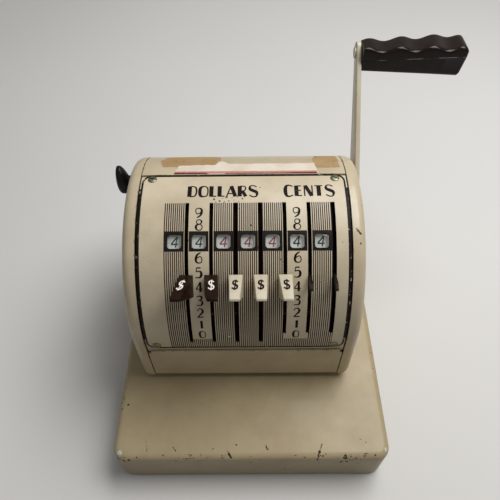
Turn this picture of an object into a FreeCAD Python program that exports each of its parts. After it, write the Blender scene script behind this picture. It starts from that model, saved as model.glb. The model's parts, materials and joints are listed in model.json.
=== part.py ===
import FreeCAD, Part
import Sketcher
import math
import os
from types import SimpleNamespace

# Check writer: a pan base, a drum-fronted head with seven selector levers, and a pull handle.
# Millimetres. The origin is the middle of the footprint on the table, +X is to the right of the
# person at the machine, +Y is to the back and +Z is up.
#
# Each selector segment turns on the selector shaft. Its tab comes out through a slot in the face
# plate, its number band runs under the window to the left of that slot, and its gear sector turns
# a type wheel. The handle turns a cam that tips the platen lever and lifts the platen to the type.

doc = FreeCAD.newDocument("check_writer")
sheet = doc.addObject("Spreadsheet::Sheet", "sizes")

DIMENSIONS = (
    # base pan
    ("base_width", 239.0),
    ("base_depth", 272.0),
    ("pan_height", 45.5),
    ("pan_wall", 1.6),
    ("pan_bend", 6.0),
    ("pan_corner", 12.0),
    ("foot_gap", 3.5),
    ("foot_radius", 9.0),
    ("foot_inset", 22.0),
    ("foot_taper", 1.5),
    ("post_half", 4.5),
    ("plate_recess", 1.0),
    ("sheet", 1.5),
    # head
    ("head_width", 190.8),
    ("head_shift", -4.4),
    ("front_overhang", 171.0),
    ("drum_height", 111.0),
    ("drum_radius", 97.0),
    ("crown_radius", 70.0),
    ("crown_start", 100.0),
    ("back_slope", 45.0),
    ("head_back", 98.0),
    ("chin_drop", 54.5),
    ("throat_end", 27.0),
    ("cover_depth", 11.0),
    ("cover_bend", 7.0),
    ("seam", 0.8),
    ("plate_thick", 1.4),
    ("plate_margin", 1.4),
    ("plate_corner", 8.0),
    ("face_bottom", -1.5),
    ("face_top", 95.0),
    ("apron_top", -9.0),
    ("apron_lip", 9.0),
    ("face_screw_radius", 3.6),
    ("face_screw_rise", 1.1),
    ("face_screw_inset", 8.0),
    ("frame_thick", 3.0),
    ("frame_half", 80.0),
    ("frame_foot", 14.0),
    ("rod_radius", 3.0),
    # selectors
    ("pitch", 19.05),
    ("column_shift", 12.9),
    ("digit_step", 6.8),
    ("zero_angle", 11.1),
    ("window_digit", 7.0),
    ("rest_digit", 4.0),
    ("lever_thick", 2.0),
    ("slot_width", 3.1),
    ("slot_spare", 0.7),
    ("slot_rise", 6.6),
    ("tab_low", 0.1),
    ("tab_high", 5.0),
    ("tab_reach", 13.0),
    ("tab_droop", 1.1),
    ("band_radius", 89.5),
    ("band_width", 13.4),
    ("band_thick", 1.8),
    ("hub_radius", 9.0),
    ("shaft_radius", 5.0),
    ("press_gap", 0.02),
    ("running_gap", 0.05),
    ("free_gap", 0.3),
    ("window_width", 15.2),
    ("window_angle", 9.4),
    ("opening_width", 11.0),
    ("opening_angle", 6.7),
    ("lens_thick", 1.2),
    ("detent_radius", 34.0),
    ("detent_angle", 210.0),
    ("comb_reach", 46.0),
    ("comb_spring", 0.8),
    ("notch_depth", 1.2),
    # gears and type wheels
    ("gear_module", 2.4),
    ("sector_teeth", 20.0),
    ("wheel_teeth", 10.0),
    ("type_drop", 29.0),
    ("type_radius", 25.0),
    ("type_face", 5.0),
    ("type_shaft_radius", 4.0),
    ("ink_shaft_radius", 2.5),
    ("ink_roller_radius", 7.0),
    ("ink_reach", 7.3),
    ("ink_drop", 8.0),
    # caps
    ("cap_start", 2.2),
    ("cap_reach", 37.0),
    ("cap_root_width", 10.8),
    ("cap_tip_width", 7.4),
    ("cap_root_top", 9.4),
    ("cap_root_bottom", 9.0),
    ("cap_tip_top", 2.0),
    ("cap_tip_bottom", 0.3),
    ("cap_bend_left", 4.1),
    ("cap_bend_right", 3.3),
    # drive
    ("drive_back", 30.0),
    ("drive_up", 18.0),
    ("drive_radius", 7.0),
    ("bushing_radius", 9.0),
    ("flange_radius", 12.5),
    ("nut_radius", 11.0),
    ("nut_height", 4.5),
    ("handle_swing", 85.0),
    ("arm_thick", 4.5),
    ("arm_gap", 7.0),
    ("arm_length", 162.0),
    ("arm_root", 16.0),
    ("arm_tip", 6.0),
    ("arm_lean", 41.1),
    ("grip_reach", 152.5),
    ("grip_screw_radius", 5.0),
    ("grip_shank_radius", 2.5),
    ("grip_shank_depth", 18.0),
    ("grip_length", 94.0),
    ("grip_front", 87.2),
    ("grip_foot", 103.4),
    ("grip_crest", 125.7),
    ("grip_first", 2.6),
    ("grip_rise", 0.41),
    ("grip_scallop", 3.7),
    ("grip_pitch", 29.4),
    ("grip_drop", 5.6),
    ("grip_thick", 20.0),
    ("grip_flare", 7.0),
    ("grip_round", 3.4),
    ("cam_base", 14.0),
    ("cam_rise", 11.0),
    ("cam_thick", 4.0),
    ("roller_radius", 6.0),
    ("roller_pin", 2.5),
    ("pivot_back", 54.0),
    ("pivot_drop", 85.0),
    ("pivot_radius", 3.5),
    ("lever_tube", 7.0),
    ("lever_half", 4.0),
    ("bracket_thick", 3.0),
    ("platen_half", 7.0),
    ("platen_top_drop", 62.6),
    # left side lever
    ("side_back", 30.0),
    ("side_up", 5.0),
    ("side_reach", 62.0),
    ("side_lean", 18.0),
    ("side_pivot_radius", 4.0),
    ("side_head_radius", 6.0),
    ("side_root", 6.5),
    ("side_tip", 4.0),
    ("side_arm_thick", 2.4),
    ("knob_length", 20.2),
    ("knob_low_radius", 5.5),
    ("knob_high_radius", 7.0),
    ("knob_bend", 3.5),
)

for row, (alias, number) in enumerate(DIMENSIONS, start=1):
    sheet.set("A%d" % row, alias)
    sheet.set("B%d" % row, repr(number))
    sheet.setAlias("B%d" % row, alias)
doc.recompute()


class Size:
    """A length or angle that carries both its number and the expression that gives it."""

    def __init__(self, number, text):
        self.number = float(number)
        self.text = text

    def __add__(self, other):
        other = size(other)
        return Size(self.number + other.number, "(%s + %s)" % (self.text, other.text))

    def __radd__(self, other):
        return size(other) + self

    def __sub__(self, other):
        other = size(other)
        return Size(self.number - other.number, "(%s - %s)" % (self.text, other.text))

    def __rsub__(self, other):
        return size(other) - self

    def __mul__(self, other):
        other = size(other)
        return Size(self.number * other.number, "(%s * %s)" % (self.text, other.text))

    def __rmul__(self, other):
        return size(other) * self

    def __truediv__(self, other):
        other = size(other)
        return Size(self.number / other.number, "(%s / %s)" % (self.text, other.text))

    def __rtruediv__(self, other):
        return size(other) / self

    def __neg__(self):
        return size(0) - self


def size(thing):
    """A Size as it is, or a plain number made into one."""
    if isinstance(thing, Size):
        return thing
    return Size(thing, "%.9g" % thing if thing >= 0 else "(%.9g)" % thing)


def sine(angle):
    angle = size(angle)
    return Size(math.sin(math.radians(angle.number)), "sin(%s)" % angle.text)


def cosine(angle):
    angle = size(angle)
    return Size(math.cos(math.radians(angle.number)), "cos(%s)" % angle.text)


def tangent(angle):
    return sine(angle) / cosine(angle)


def root(square):
    return Size(math.sqrt(square.number), "sqrt(%s)" % square.text)


def bind(thing, prop, amount):
    """Tie a property to the sheet, or set it where the amount is a plain number."""
    thing.setExpression(prop, size(amount).text)


d = SimpleNamespace(**{alias: Size(number, "sizes." + alias) for alias, number in DIMENSIONS})

# places worked out from the driving sizes
base_top = d.foot_gap + d.pan_height
drum_y = d.front_overhang - d.base_depth / 2
drum_z = d.drum_height
head_x = d.head_shift
chin_z = drum_z - d.chin_drop
throat_back = drum_y + d.throat_end
frame_inner = d.frame_half
frame_outer = d.frame_half + d.frame_thick
cover_inner = d.head_width / 2 - d.cover_depth
panel_half = cover_inner - d.seam
plate_half = panel_half - d.plate_margin
plate_inner_radius = d.drum_radius - d.plate_thick
panel_radius = plate_inner_radius - d.running_gap
rest_angle = d.zero_angle + d.digit_step * d.rest_digit
window_centre = d.zero_angle + d.digit_step * d.window_digit
gear_radius = d.gear_module * d.sector_teeth / 2
pinion_radius = d.gear_module * d.wheel_teeth / 2
centre_distance = gear_radius + pinion_radius
type_forward = root(centre_distance * centre_distance - d.type_drop * d.type_drop)
type_y = drum_y - type_forward
type_z = drum_z - d.type_drop
drive_y = drum_y + d.drive_back
drive_z = drum_z + d.drive_up
side_y = drum_y + d.side_back
side_z = drum_z + d.side_up
pivot_y = drum_y + d.pivot_back
pivot_z = drum_z - d.pivot_drop
# a reach out of the drum axis, or along it, that clears the whole head, for pieces that only cut
beyond = d.drum_radius + 23
COLUMNS = range(1, 8)
CAPPED = range(1, 6)


def slot_x(column):
    return head_x + d.column_shift + d.pitch * (column - 4)


# ---------------------------------------------------------------------------------- builders

ALONG_X = FreeCAD.Rotation(FreeCAD.Vector(0, 1, 0), 90)
# Drum frame: local Z is -X of the machine, local X points to the front and local Y up, so that
# an angle about local Z is the height of a digit above the horizontal through the drum centre.
DRUM = FreeCAD.Rotation(FreeCAD.Vector(0, -1, 0), FreeCAD.Vector(0, 0, 1), FreeCAD.Vector(-1, 0, 0), "ZXY")

parts = {}


def fresh(kind, name):
    return doc.addObject(kind, name)


def keep(label, thing):
    """Name a finished sub-part."""
    thing.Label = label
    parts[label] = thing
    return thing


def move(thing, x, y, z, rotation=None):
    if rotation is not None:
        thing.Placement = FreeCAD.Placement(FreeCAD.Vector(0, 0, 0), rotation)
    bind(thing, "Placement.Base.x", x)
    bind(thing, "Placement.Base.y", y)
    bind(thing, "Placement.Base.z", z)
    return thing


def in_drum(thing, x=0, y=None, z=None):
    """Put a piece that was made about local Z on the drum axis, or on a line beside it."""
    return move(thing, x, drum_y if y is None else y, drum_z if z is None else z, DRUM)


def box(x0, x1, y0, y1, z0, z1):
    solid = fresh("Part::Box", "box")
    bind(solid, "Length", size(x1) - x0)
    bind(solid, "Width", size(y1) - y0)
    bind(solid, "Height", size(z1) - z0)
    return move(solid, x0, y0, z0)


def rod_x(x0, x1, y, z, radius):
    solid = fresh("Part::Cylinder", "rod")
    bind(solid, "Radius", radius)
    bind(solid, "Height", size(x1) - x0)
    return move(solid, x0, y, z, ALONG_X)


def rod_z(x, y, z0, z1, radius):
    solid = fresh("Part::Cylinder", "rod")
    bind(solid, "Radius", radius)
    bind(solid, "Height", size(z1) - z0)
    return move(solid, x, y, z0)


def cone_z(x, y, z0, z1, low_radius, high_radius):
    solid = fresh("Part::Cone", "cone")
    bind(solid, "Radius1", low_radius)
    bind(solid, "Radius2", high_radius)
    bind(solid, "Height", size(z1) - z0)
    return move(solid, x, y, z0)


def cut(base, *tools):
    result = fresh("Part::Cut", "cut")
    result.Base = base
    result.Tool = tools[0] if len(tools) == 1 else group(*tools)
    return result


def fuse(*pieces):
    result = fresh("Part::MultiFuse", "fuse")
    result.Shapes = list(pieces)
    result.Refine = True
    return result


def common(first, second):
    result = fresh("Part::Common", "common")
    result.Base = first
    result.Tool = second
    return result


def group(*pieces):
    result = fresh("Part::Compound", "group")
    result.Links = list(pieces)
    return result


def wedge(angle_low, angle_high, z0, z1, radius):
    """A slice of a disc about local Z, for a piece in the drum frame."""
    solid = fresh("Part::Cylinder", "slice")
    bind(solid, "Radius", radius)
    bind(solid, "Height", size(z1) - z0)
    bind(solid, "Angle", size(angle_high) - angle_low)
    solid.Placement = FreeCAD.Placement(FreeCAD.Vector(0, 0, 0), FreeCAD.Rotation(0, 0, 0, 1))
    bind(solid, "Placement.Rotation.Axis.z", 1)
    bind(solid, "Placement.Rotation.Angle", angle_low)
    bind(solid, "Placement.Base.z", z0)
    return solid


def disc(z0, z1, radius):
    solid = fresh("Part::Cylinder", "disc")
    bind(solid, "Radius", radius)
    bind(solid, "Height", size(z1) - z0)
    bind(solid, "Placement.Base.z", z0)
    return solid


def ring_slice(angle_low, angle_high, z0, z1, inner, outer):
    return cut(wedge(angle_low, angle_high, z0, z1, outer), disc(z0, z1, inner))


def corner(x, y, arc=None):
    """A corner of an outline. arc is (centre x, centre y, counter-clockwise) of the side after it."""
    return SimpleNamespace(x=size(x), y=size(y), arc=arc)


def rounded(x0, x1, y0, y1, radius):
    """A rectangle with round corners, counter-clockwise."""
    return [
        corner(x0 + radius, y0),
        corner(x1 - radius, y0, (x1 - radius, y0 + radius, True)),
        corner(x1, y0 + radius),
        corner(x1, y1 - radius, (x1 - radius, y1 - radius, True)),
        corner(x1 - radius, y1),
        corner(x0 + radius, y1, (x0 + radius, y1 - radius, True)),
        corner(x0, y1 - radius),
        corner(x0, y0 + radius, (x0 + radius, y0 + radius, True)),
    ]


def circle(x, y, radius):
    return SimpleNamespace(x=size(x), y=size(y), radius=size(radius))


class Drawing:
    """A sketch whose every corner, centre and radius is held by an expression."""

    def __init__(self, body, plane, offset=0):
        self.sketch = body.newObject("Sketcher::SketchObject", "sketch")
        planes = [item for item in body.Origin.OriginFeatures if item.Role == plane]
        self.sketch.AttachmentSupport = [(planes[0], "")]
        self.sketch.MapMode = "FlatFace"
        bind(self.sketch, "AttachmentOffset.Base.z", offset)
        self.bound = []

    def hold(self, kind, amount, geometry, point):
        constraint = Sketcher.Constraint(kind, -1, 1, geometry, point, amount.number)
        index = self.sketch.addConstraint(constraint)
        self.sketch.setExpression("Constraints[%d]" % index, amount.text)

    def add_circle(self, ring):
        centre = FreeCAD.Vector(ring.x.number, ring.y.number, 0)
        shape = Part.Circle(centre, FreeCAD.Vector(0, 0, 1), ring.radius.number)
        geometry = self.sketch.addGeometry(shape, False)
        self.hold("DistanceX", ring.x, geometry, 3)
        self.hold("DistanceY", ring.y, geometry, 3)
        index = self.sketch.addConstraint(Sketcher.Constraint("Radius", geometry, ring.radius.number))
        self.sketch.setExpression("Constraints[%d]" % index, ring.radius.text)

    def add_outline(self, corners):
        ends = []
        for here, after in zip(corners, corners[1:] + corners[:1]):
            start = FreeCAD.Vector(here.x.number, here.y.number, 0)
            stop = FreeCAD.Vector(after.x.number, after.y.number, 0)
            if here.arc is None:
                geometry = self.sketch.addGeometry(Part.LineSegment(start, stop), False)
                ends.append((geometry, 1, 2))
                continue
            centre_x, centre_y, turns_left = here.arc
            centre_x = size(centre_x)
            centre_y = size(centre_y)
            centre = FreeCAD.Vector(centre_x.number, centre_y.number, 0)
            ring = Part.Circle(centre, FreeCAD.Vector(0, 0, 1), (start - centre).Length)
            first, last = (start, stop) if turns_left else (stop, start)
            first_angle = math.atan2(first.y - centre.y, first.x - centre.x)
            last_angle = math.atan2(last.y - centre.y, last.x - centre.x)
            arc = Part.ArcOfCircle(ring, first_angle, last_angle)
            geometry = self.sketch.addGeometry(arc, False)
            ends.append((geometry, 1, 2) if turns_left else (geometry, 2, 1))
            self.hold("DistanceX", centre_x, geometry, 3)
            self.hold("DistanceY", centre_y, geometry, 3)
        for index, (geometry, start, _) in enumerate(ends):
            before, _, stop = ends[index - 1]
            self.sketch.addConstraint(Sketcher.Constraint("Coincident", before, stop, geometry, start))
            here = corners[index]
            arriving = corners[index - 1].arc
            if arriving is None:
                self.hold("DistanceX", here.x, geometry, start)
                self.hold("DistanceY", here.y, geometry, start)
                continue
            sideways = abs(here.x.number - size(arriving[0]).number)
            upright = abs(here.y.number - size(arriving[1]).number)
            if upright > sideways:
                self.hold("DistanceX", here.x, geometry, start)
            else:
                self.hold("DistanceY", here.y, geometry, start)


PLANES = {"xy": "XY_Plane", "xz": "XZ_Plane", "yz": "YZ_Plane"}


def plate(plane, start, depth, *loops):
    """A body padded from an outline, with holes where more loops are given."""
    body = fresh("PartDesign::Body", "body")
    drawing = Drawing(body, PLANES[plane], start)
    for loop in loops:
        if isinstance(loop, list):
            drawing.add_outline(loop)
        else:
            drawing.add_circle(loop)
    pad = body.newObject("PartDesign::Pad", "pad")
    pad.Profile = drawing.sketch
    bind(pad, "Length", depth)
    drawing.sketch.Visibility = False
    body.Tip = pad
    return body


def pocket(body, plane, start, depth, outline):
    """Cut an outline out of a body, down from a height."""
    drawing = Drawing(body, PLANES[plane], start)
    drawing.add_outline(outline)
    hollow = body.newObject("PartDesign::Pocket", "pocket")
    hollow.Profile = drawing.sketch
    bind(hollow, "Length", depth)
    drawing.sketch.Visibility = False
    body.Tip = hollow
    return body


def round_edges(body, radius, wanted, kind="PartDesign::Fillet", prop="Radius"):
    """Fillet the edges of the body's last feature that wanted(edge) picks."""
    doc.recompute()
    feature = body.Tip
    names = []
    for index, edge in enumerate(feature.Shape.Edges, start=1):
        if wanted(edge):
            names.append("Edge%d" % index)
    if not names:
        raise RuntimeError("no edge to round on " + body.Label)
    fillet = body.newObject(kind, "edges")
    fillet.Base = (feature, names)
    bind(fillet, prop, radius)
    body.Tip = fillet
    doc.recompute()
    return body


def bevel_edges(body, radius, wanted):
    """Cut the edges to the flat that touches a round of this radius at its middle."""
    return round_edges(body, radius * (2 - math.sqrt(2)), wanted, "PartDesign::Chamfer", "Size")


def near(a, b, slack=0.01):
    return abs(a - b) < slack


# ---------------------------------------------------------------------------------- base

def pan(inset, top):
    """The block of the base, drawn in by inset on every side, and the test for its top edges."""
    half_x = d.base_width / 2 - inset
    half_y = d.base_depth / 2 - inset
    outline = rounded(-half_x, half_x, -half_y, half_y, d.pan_corner - inset)
    block = plate("xy", d.foot_gap, top - d.foot_gap, outline)
    level = top.number
    return block, lambda edge: near(edge.BoundBox.ZMin, level) and near(edge.BoundBox.ZMax, level)


platen_x0 = slot_x(1) - d.pitch + 2
platen_x1 = slot_x(7) + 2
post_x0 = slot_x(7) + d.lever_thick / 2 + d.free_gap * 2
post_x1 = post_x0 + 3
cam_x0 = post_x1 + 0.5
cam_x1 = cam_x0 + d.cam_thick


def base():
    outer, outer_rim = pan(size(0), base_top)
    round_edges(outer, d.pan_bend, outer_rim)
    core, core_rim = pan(d.pan_wall, base_top - d.pan_wall)
    bevel_edges(core, d.pan_bend - d.pan_wall, core_rim)
    half_width = d.base_width / 2
    half_depth = d.base_depth / 2
    below = box(-half_width, half_width, -half_depth, half_depth, d.foot_gap - 2, d.foot_gap)
    hole_z0 = base_top - 10
    hole_z1 = base_top + 1
    platen_hole = box(platen_x0 - 2, platen_x1 + 2, type_y - d.platen_half - 4, type_y + d.platen_half + 5,
                      hole_z0, hole_z1)
    post_hole = box(post_x0 - 2, cam_x1 + 3, pivot_y - 14, pivot_y + 18, hole_z0, hole_z1)
    keep("base_cover", cut(outer, core, below, platen_hole, post_hole))

    floor_z0 = d.foot_gap + d.plate_recess
    inset = d.pan_wall + d.free_gap
    half_x = d.base_width / 2 - inset
    half_y = d.base_depth / 2 - inset
    floor = plate("xy", floor_z0, d.sheet, rounded(-half_x, half_x, -half_y, half_y, d.pan_corner - inset))
    keep("bottom_plate", floor)
    places = foot_places()
    half = d.post_half
    posts = [box(x - half, x + half, y - half, y + half, floor_z0 + d.sheet, base_top - d.pan_wall)
             for x, y in places]
    keep("base_posts", group(*posts))
    feet = [cone_z(x, y, 0, floor_z0, d.foot_radius - d.foot_taper, d.foot_radius) for x, y in places]
    keep("rubber_feet", group(*feet))


def foot_places():
    x = d.base_width / 2 - d.foot_inset
    y = d.base_depth / 2 - d.foot_inset
    return [(-x, -y), (x, -y), (x, y), (-x, y)]


# ---------------------------------------------------------------------------------- head shells

def head_outline(inset, foot_z, bottom_z=None):
    """The side view of the head in (y, z): drum, crown, sloping back, pillar and throat."""
    bottom_z = chin_z + inset if bottom_z is None else bottom_z
    front = drum_y - d.drum_radius + inset
    radius = d.drum_radius - inset
    crown = d.crown_radius - inset
    crown_y = drum_y - (d.drum_radius - d.crown_radius) * cosine(d.crown_start)
    crown_z = drum_z + (d.drum_radius - d.crown_radius) * sine(d.crown_start)
    top_y = drum_y - radius * cosine(d.crown_start)
    top_z = drum_z + radius * sine(d.crown_start)
    slope_y = crown_y + crown * sine(d.back_slope)
    slope_z = crown_z + crown * cosine(d.back_slope)
    back = drum_y + d.head_back - inset
    back_z = slope_z - (back - slope_y) * tangent(d.back_slope)
    pillar = throat_back + inset
    return [
        corner(front, drum_z, (drum_y, drum_z, False)),
        corner(top_y, top_z, (crown_y, crown_z, False)),
        corner(slope_y, slope_z),
        corner(back, back_z),
        corner(back, foot_z),
        corner(pillar, foot_z),
        corner(pillar, bottom_z),
        corner(front, bottom_z),
    ]


def side_cover(side):
    """A pressed end cover: the outer rim is bent round, and the inside is open."""
    outer_x = head_x + side * d.head_width / 2
    inner_x = head_x + side * cover_inner
    low_x, high_x = (outer_x, inner_x) if side < 0 else (inner_x, outer_x)
    shell = plate("yz", low_x, d.cover_depth, head_outline(size(0), base_top))

    def on_plane(edge, level):
        return near(edge.BoundBox.XMin, level) and near(edge.BoundBox.XMax, level)

    face = outer_x.number
    round_edges(shell, d.cover_bend,
                lambda edge: on_plane(edge, face) and edge.BoundBox.ZMax > base_top.number + 1)
    core_low, core_high = (outer_x + d.sheet, inner_x + 1) if side < 0 else (inner_x - 1, outer_x - d.sheet)
    core = plate("yz", core_low, core_high - core_low, head_outline(d.sheet, base_top - 1))
    core_face = (outer_x - side * d.sheet).number
    bevel_edges(core, d.cover_bend - d.sheet,
                lambda edge: on_plane(edge, core_face) and edge.BoundBox.ZMax > base_top.number)
    return shell, core


def head_shells():
    left, left_core = side_cover(-1)
    right, right_core = side_cover(1)
    side_hole = rod_x(head_x - d.head_width / 2 - 1, head_x - cover_inner + 1, side_y, side_z,
                      d.side_pivot_radius + d.free_gap)
    keep("left_cover", cut(left, left_core, side_hole))
    drive_hole = rod_x(head_x + cover_inner - 1, head_x + d.head_width / 2 + 1, drive_y, drive_z,
                       d.bushing_radius + 0.5)
    keep("right_cover", cut(right, right_core, drive_hole))

    # top cover: the head's outline bent from one sheet, from the face plate over the crown to the back
    low_x = head_x - panel_half
    outer = plate("yz", low_x, panel_half * 2, head_outline(size(0), base_top))
    inner = plate("yz", low_x - 1, panel_half * 2 + 2, head_outline(d.sheet, base_top - 1, chin_z - 5))
    high_x = head_x + panel_half
    front = in_drum(group(wedge(-95, d.face_top + 0.4, -high_x - 1, -low_x + 1, beyond)))
    below = box(low_x - 1, high_x + 1, drum_y - beyond, throat_back + 30, base_top - 2, drum_z - 2)
    keep("top_cover", cut(outer, inner, front, below))

    # apron: the plain strip under the face plate, with its lower edge turned in
    y0 = drum_y - d.drum_radius
    tab_half = panel_half - 2.6
    apron_half = panel_half - 0.2
    top_z = drum_z + d.apron_top
    step_z = top_z - 4
    upright = plate("xz", -(y0 + d.plate_thick), d.plate_thick, [
        corner(head_x - apron_half, chin_z),
        corner(head_x + apron_half, chin_z),
        corner(head_x + apron_half, step_z),
        corner(head_x + tab_half, step_z),
        corner(head_x + tab_half, top_z),
        corner(head_x - tab_half, top_z),
        corner(head_x - tab_half, step_z),
        corner(head_x - apron_half, step_z)])
    lip_y = y0 + d.apron_lip
    lip = box(head_x - apron_half, head_x + apron_half, y0, lip_y, chin_z, chin_z + d.plate_thick)
    keep("apron", fuse(upright, lip))

    # throat plate: the roof of the check throat, with a window for the type
    edge = rounded(head_x - frame_inner, head_x + frame_inner, lip_y + d.free_gap, throat_back, size(1.0))
    window = rounded(slot_x(1) - d.pitch - 1, slot_x(7) + 4, type_y - 9.5, type_y + 9.5, size(2.0))
    keep("throat_plate", plate("xy", chin_z, d.sheet, edge, window))


def low_end(column):
    """Angle below the digit line that a column's slot runs to: the first four have a blank place."""
    return d.digit_step if column <= 4 else size(0)


def slot_slices(width):
    slices = []
    for column in COLUMNS:
        low = d.zero_angle + d.tab_low - low_end(column) - d.slot_spare
        high = d.zero_angle + d.digit_step * 9 + d.slot_rise
        middle = -slot_x(column)
        slices.append(wedge(low, high, middle - width / 2, middle + width / 2, beyond))
    return slices


def window_slices(width, angle):
    slices = []
    for column in COLUMNS:
        middle = -(slot_x(column) - d.pitch / 2)
        low = window_centre - angle / 2
        slices.append(wedge(low, low + angle, middle - width / 2, middle + width / 2, beyond))
    return slices


FACE_STRIPS = 8


def face():
    z0 = -(head_x + plate_half)
    z1 = z0 + plate_half * 2
    body = fresh("PartDesign::Body", "body")
    drawing = Drawing(body, "XZ_Plane")
    drawing.add_outline([
        corner(plate_inner_radius, z0),
        corner(d.drum_radius, z0),
        corner(d.drum_radius, z1),
        corner(plate_inner_radius, z1)])
    spin = body.newObject("PartDesign::Revolution", "bending")
    spin.Profile = drawing.sketch
    spin.ReferenceAxis = (drawing.sketch, ["V_Axis"])
    bind(spin, "Angle", d.face_top - d.face_bottom)
    body.Tip = spin
    thick = d.plate_thick.number
    round_edges(body, d.plate_corner, lambda edge: near(edge.Length, thick))
    # the turning starts in the local XZ plane, so the plate is tipped to its lower edge
    doc.recompute()
    middle = body.Shape.Solids[0].CenterOfMass
    clockwise = middle.y < 0
    body.Placement = FreeCAD.Placement(FreeCAD.Vector(0, 0, 0), FreeCAD.Rotation(0, 0, 0, 1))
    bind(body, "Placement.Rotation.Axis.z", 1)
    bind(body, "Placement.Rotation.Angle", d.face_top if clockwise else d.face_bottom)
    # the sheet is taken in even strips up the bend, so that no patch of its surface spans a large angle
    share = (d.face_top - d.face_bottom) / FACE_STRIPS
    strips = []
    for index in range(FACE_STRIPS):
        low = d.face_bottom + share * index
        strips.append(common(body, wedge(low, low + share, z0 - 1, z1 + 1, beyond)))
    bent = fuse(*strips)
    bent.Refine = False
    openings = slot_slices(d.slot_width) + window_slices(d.window_width, d.window_angle)
    keep("face_plate", in_drum(cut(bent, *openings)))

    # panel under the plate: it carries the plate, and its slots are wider
    low = d.apron_top + 1.2
    panel = ring_slice(low, d.face_top, z0 - d.plate_margin, z1 + d.plate_margin,
                       panel_radius - d.sheet, panel_radius)
    work_x0 = slot_x(1) - d.pitch + 1
    work_x1 = slot_x(7) + 4
    work_low = d.zero_angle - d.digit_step - 4
    work_high = d.zero_angle + d.digit_step * 9 + 9
    opening = wedge(work_low, work_high, -work_x1, -work_x0, beyond)
    keep("front_panel", in_drum(cut(panel, opening)))

    # bezels and lenses, one set to a window
    bezels = []
    lenses = []
    half = d.window_width / 2 - 0.1
    half_angle = (d.window_angle - 0.12) / 2
    low = window_centre - half_angle
    high = window_centre + half_angle
    half_opening = d.opening_width / 2
    lens_top = panel_radius - d.sheet
    for column in COLUMNS:
        middle = -(slot_x(column) - d.pitch / 2)
        z0 = middle - half
        z1 = middle + half
        outer = wedge(low, high, z0, z1, d.drum_radius - d.free_gap)
        hole = wedge(window_centre - d.opening_angle / 2, window_centre + d.opening_angle / 2,
                     middle - half_opening, middle + half_opening, beyond)
        bezels.append(cut(outer, disc(z0, z1, lens_top), hole))
        lenses.append(ring_slice(low, high, z0, z1, lens_top - d.lens_thick, lens_top))
    keep("window_bezels", in_drum(group(*bezels)))
    keep("window_lenses", in_drum(group(*lenses)))

    seat = d.drum_radius + d.press_gap
    head = d.drum_radius + d.face_screw_rise
    screws = [radial(x, angle, seat, head, d.face_screw_radius) for x, angle in face_screw_places()]
    keep("face_screws", in_drum(group(*screws)))


def face_screw_places():
    side = plate_half - d.face_screw_inset
    return [(head_x - side, d.face_bottom + 3), (head_x + side, d.face_bottom + 3),
            (head_x - side, d.face_top - 3), (head_x + side, d.face_top - 3)]


def radial(x, angle, start, stop, radius):
    """A round pin that points out from the drum axis, in the drum frame."""
    solid = fresh("Part::Cylinder", "pin")
    bind(solid, "Radius", radius)
    bind(solid, "Height", size(stop) - start)
    tilt = FreeCAD.Rotation(FreeCAD.Vector(0, 0, 1), size(angle).number)
    solid.Placement = FreeCAD.Placement(FreeCAD.Vector(0, 0, 0), tilt.multiply(ALONG_X))
    bind(solid, "Placement.Base.x", size(start) * cosine(angle))
    bind(solid, "Placement.Base.y", size(start) * sine(angle))
    bind(solid, "Placement.Base.z", -size(x))
    return solid


# ---------------------------------------------------------------------------------- frames and shafts

def spacer_places():
    """The tie rods between the side frames, (y, z)."""
    return [(drum_y - 74, drum_z - 40), (drum_y + 74, drum_z - 42), (drum_y + 60, drum_z + 42)]


comb_y = drum_y - d.comb_reach * cosine(d.detent_angle)
comb_z = drum_z + d.comb_reach * sine(d.detent_angle)
ink_y = type_y - d.type_radius - d.ink_reach
ink_z = type_z - d.ink_drop


def side_frame(side):
    inner = head_x + side * frame_inner
    low = inner if side > 0 else inner - d.frame_thick
    gap = size(5.5)
    rods = spacer_places() + [(comb_y, comb_z)]
    holes = [circle(y, z, d.rod_radius + d.running_gap) for y, z in rods]
    holes.append(circle(drum_y, drum_z, d.shaft_radius + d.running_gap))
    holes.append(circle(type_y, type_z, d.type_shaft_radius + d.running_gap))
    holes.append(circle(ink_y, ink_z, d.ink_shaft_radius + d.running_gap))
    if side > 0:
        holes.append(circle(drive_y, drive_z, d.bushing_radius))
    else:
        holes.append(circle(side_y, side_z, d.side_pivot_radius + d.running_gap))
    cheek = plate("yz", low, d.frame_thick, head_outline(gap, base_top), *holes)
    foot_x0, foot_x1 = (inner - d.frame_foot, inner) if side > 0 else (inner, inner + d.frame_foot)
    foot_half = (d.head_back - d.throat_end) / 2 - 8
    foot_y = drum_y + (d.throat_end + d.head_back) / 2
    # the right foot is short, to leave room for the cam's follower
    foot_y0 = foot_y + foot_half - d.frame_foot if side > 0 else foot_y - foot_half
    foot = box(foot_x0, foot_x1, foot_y0, foot_y + foot_half, base_top, base_top + d.frame_thick)
    return fuse(cheek, foot)


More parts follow.
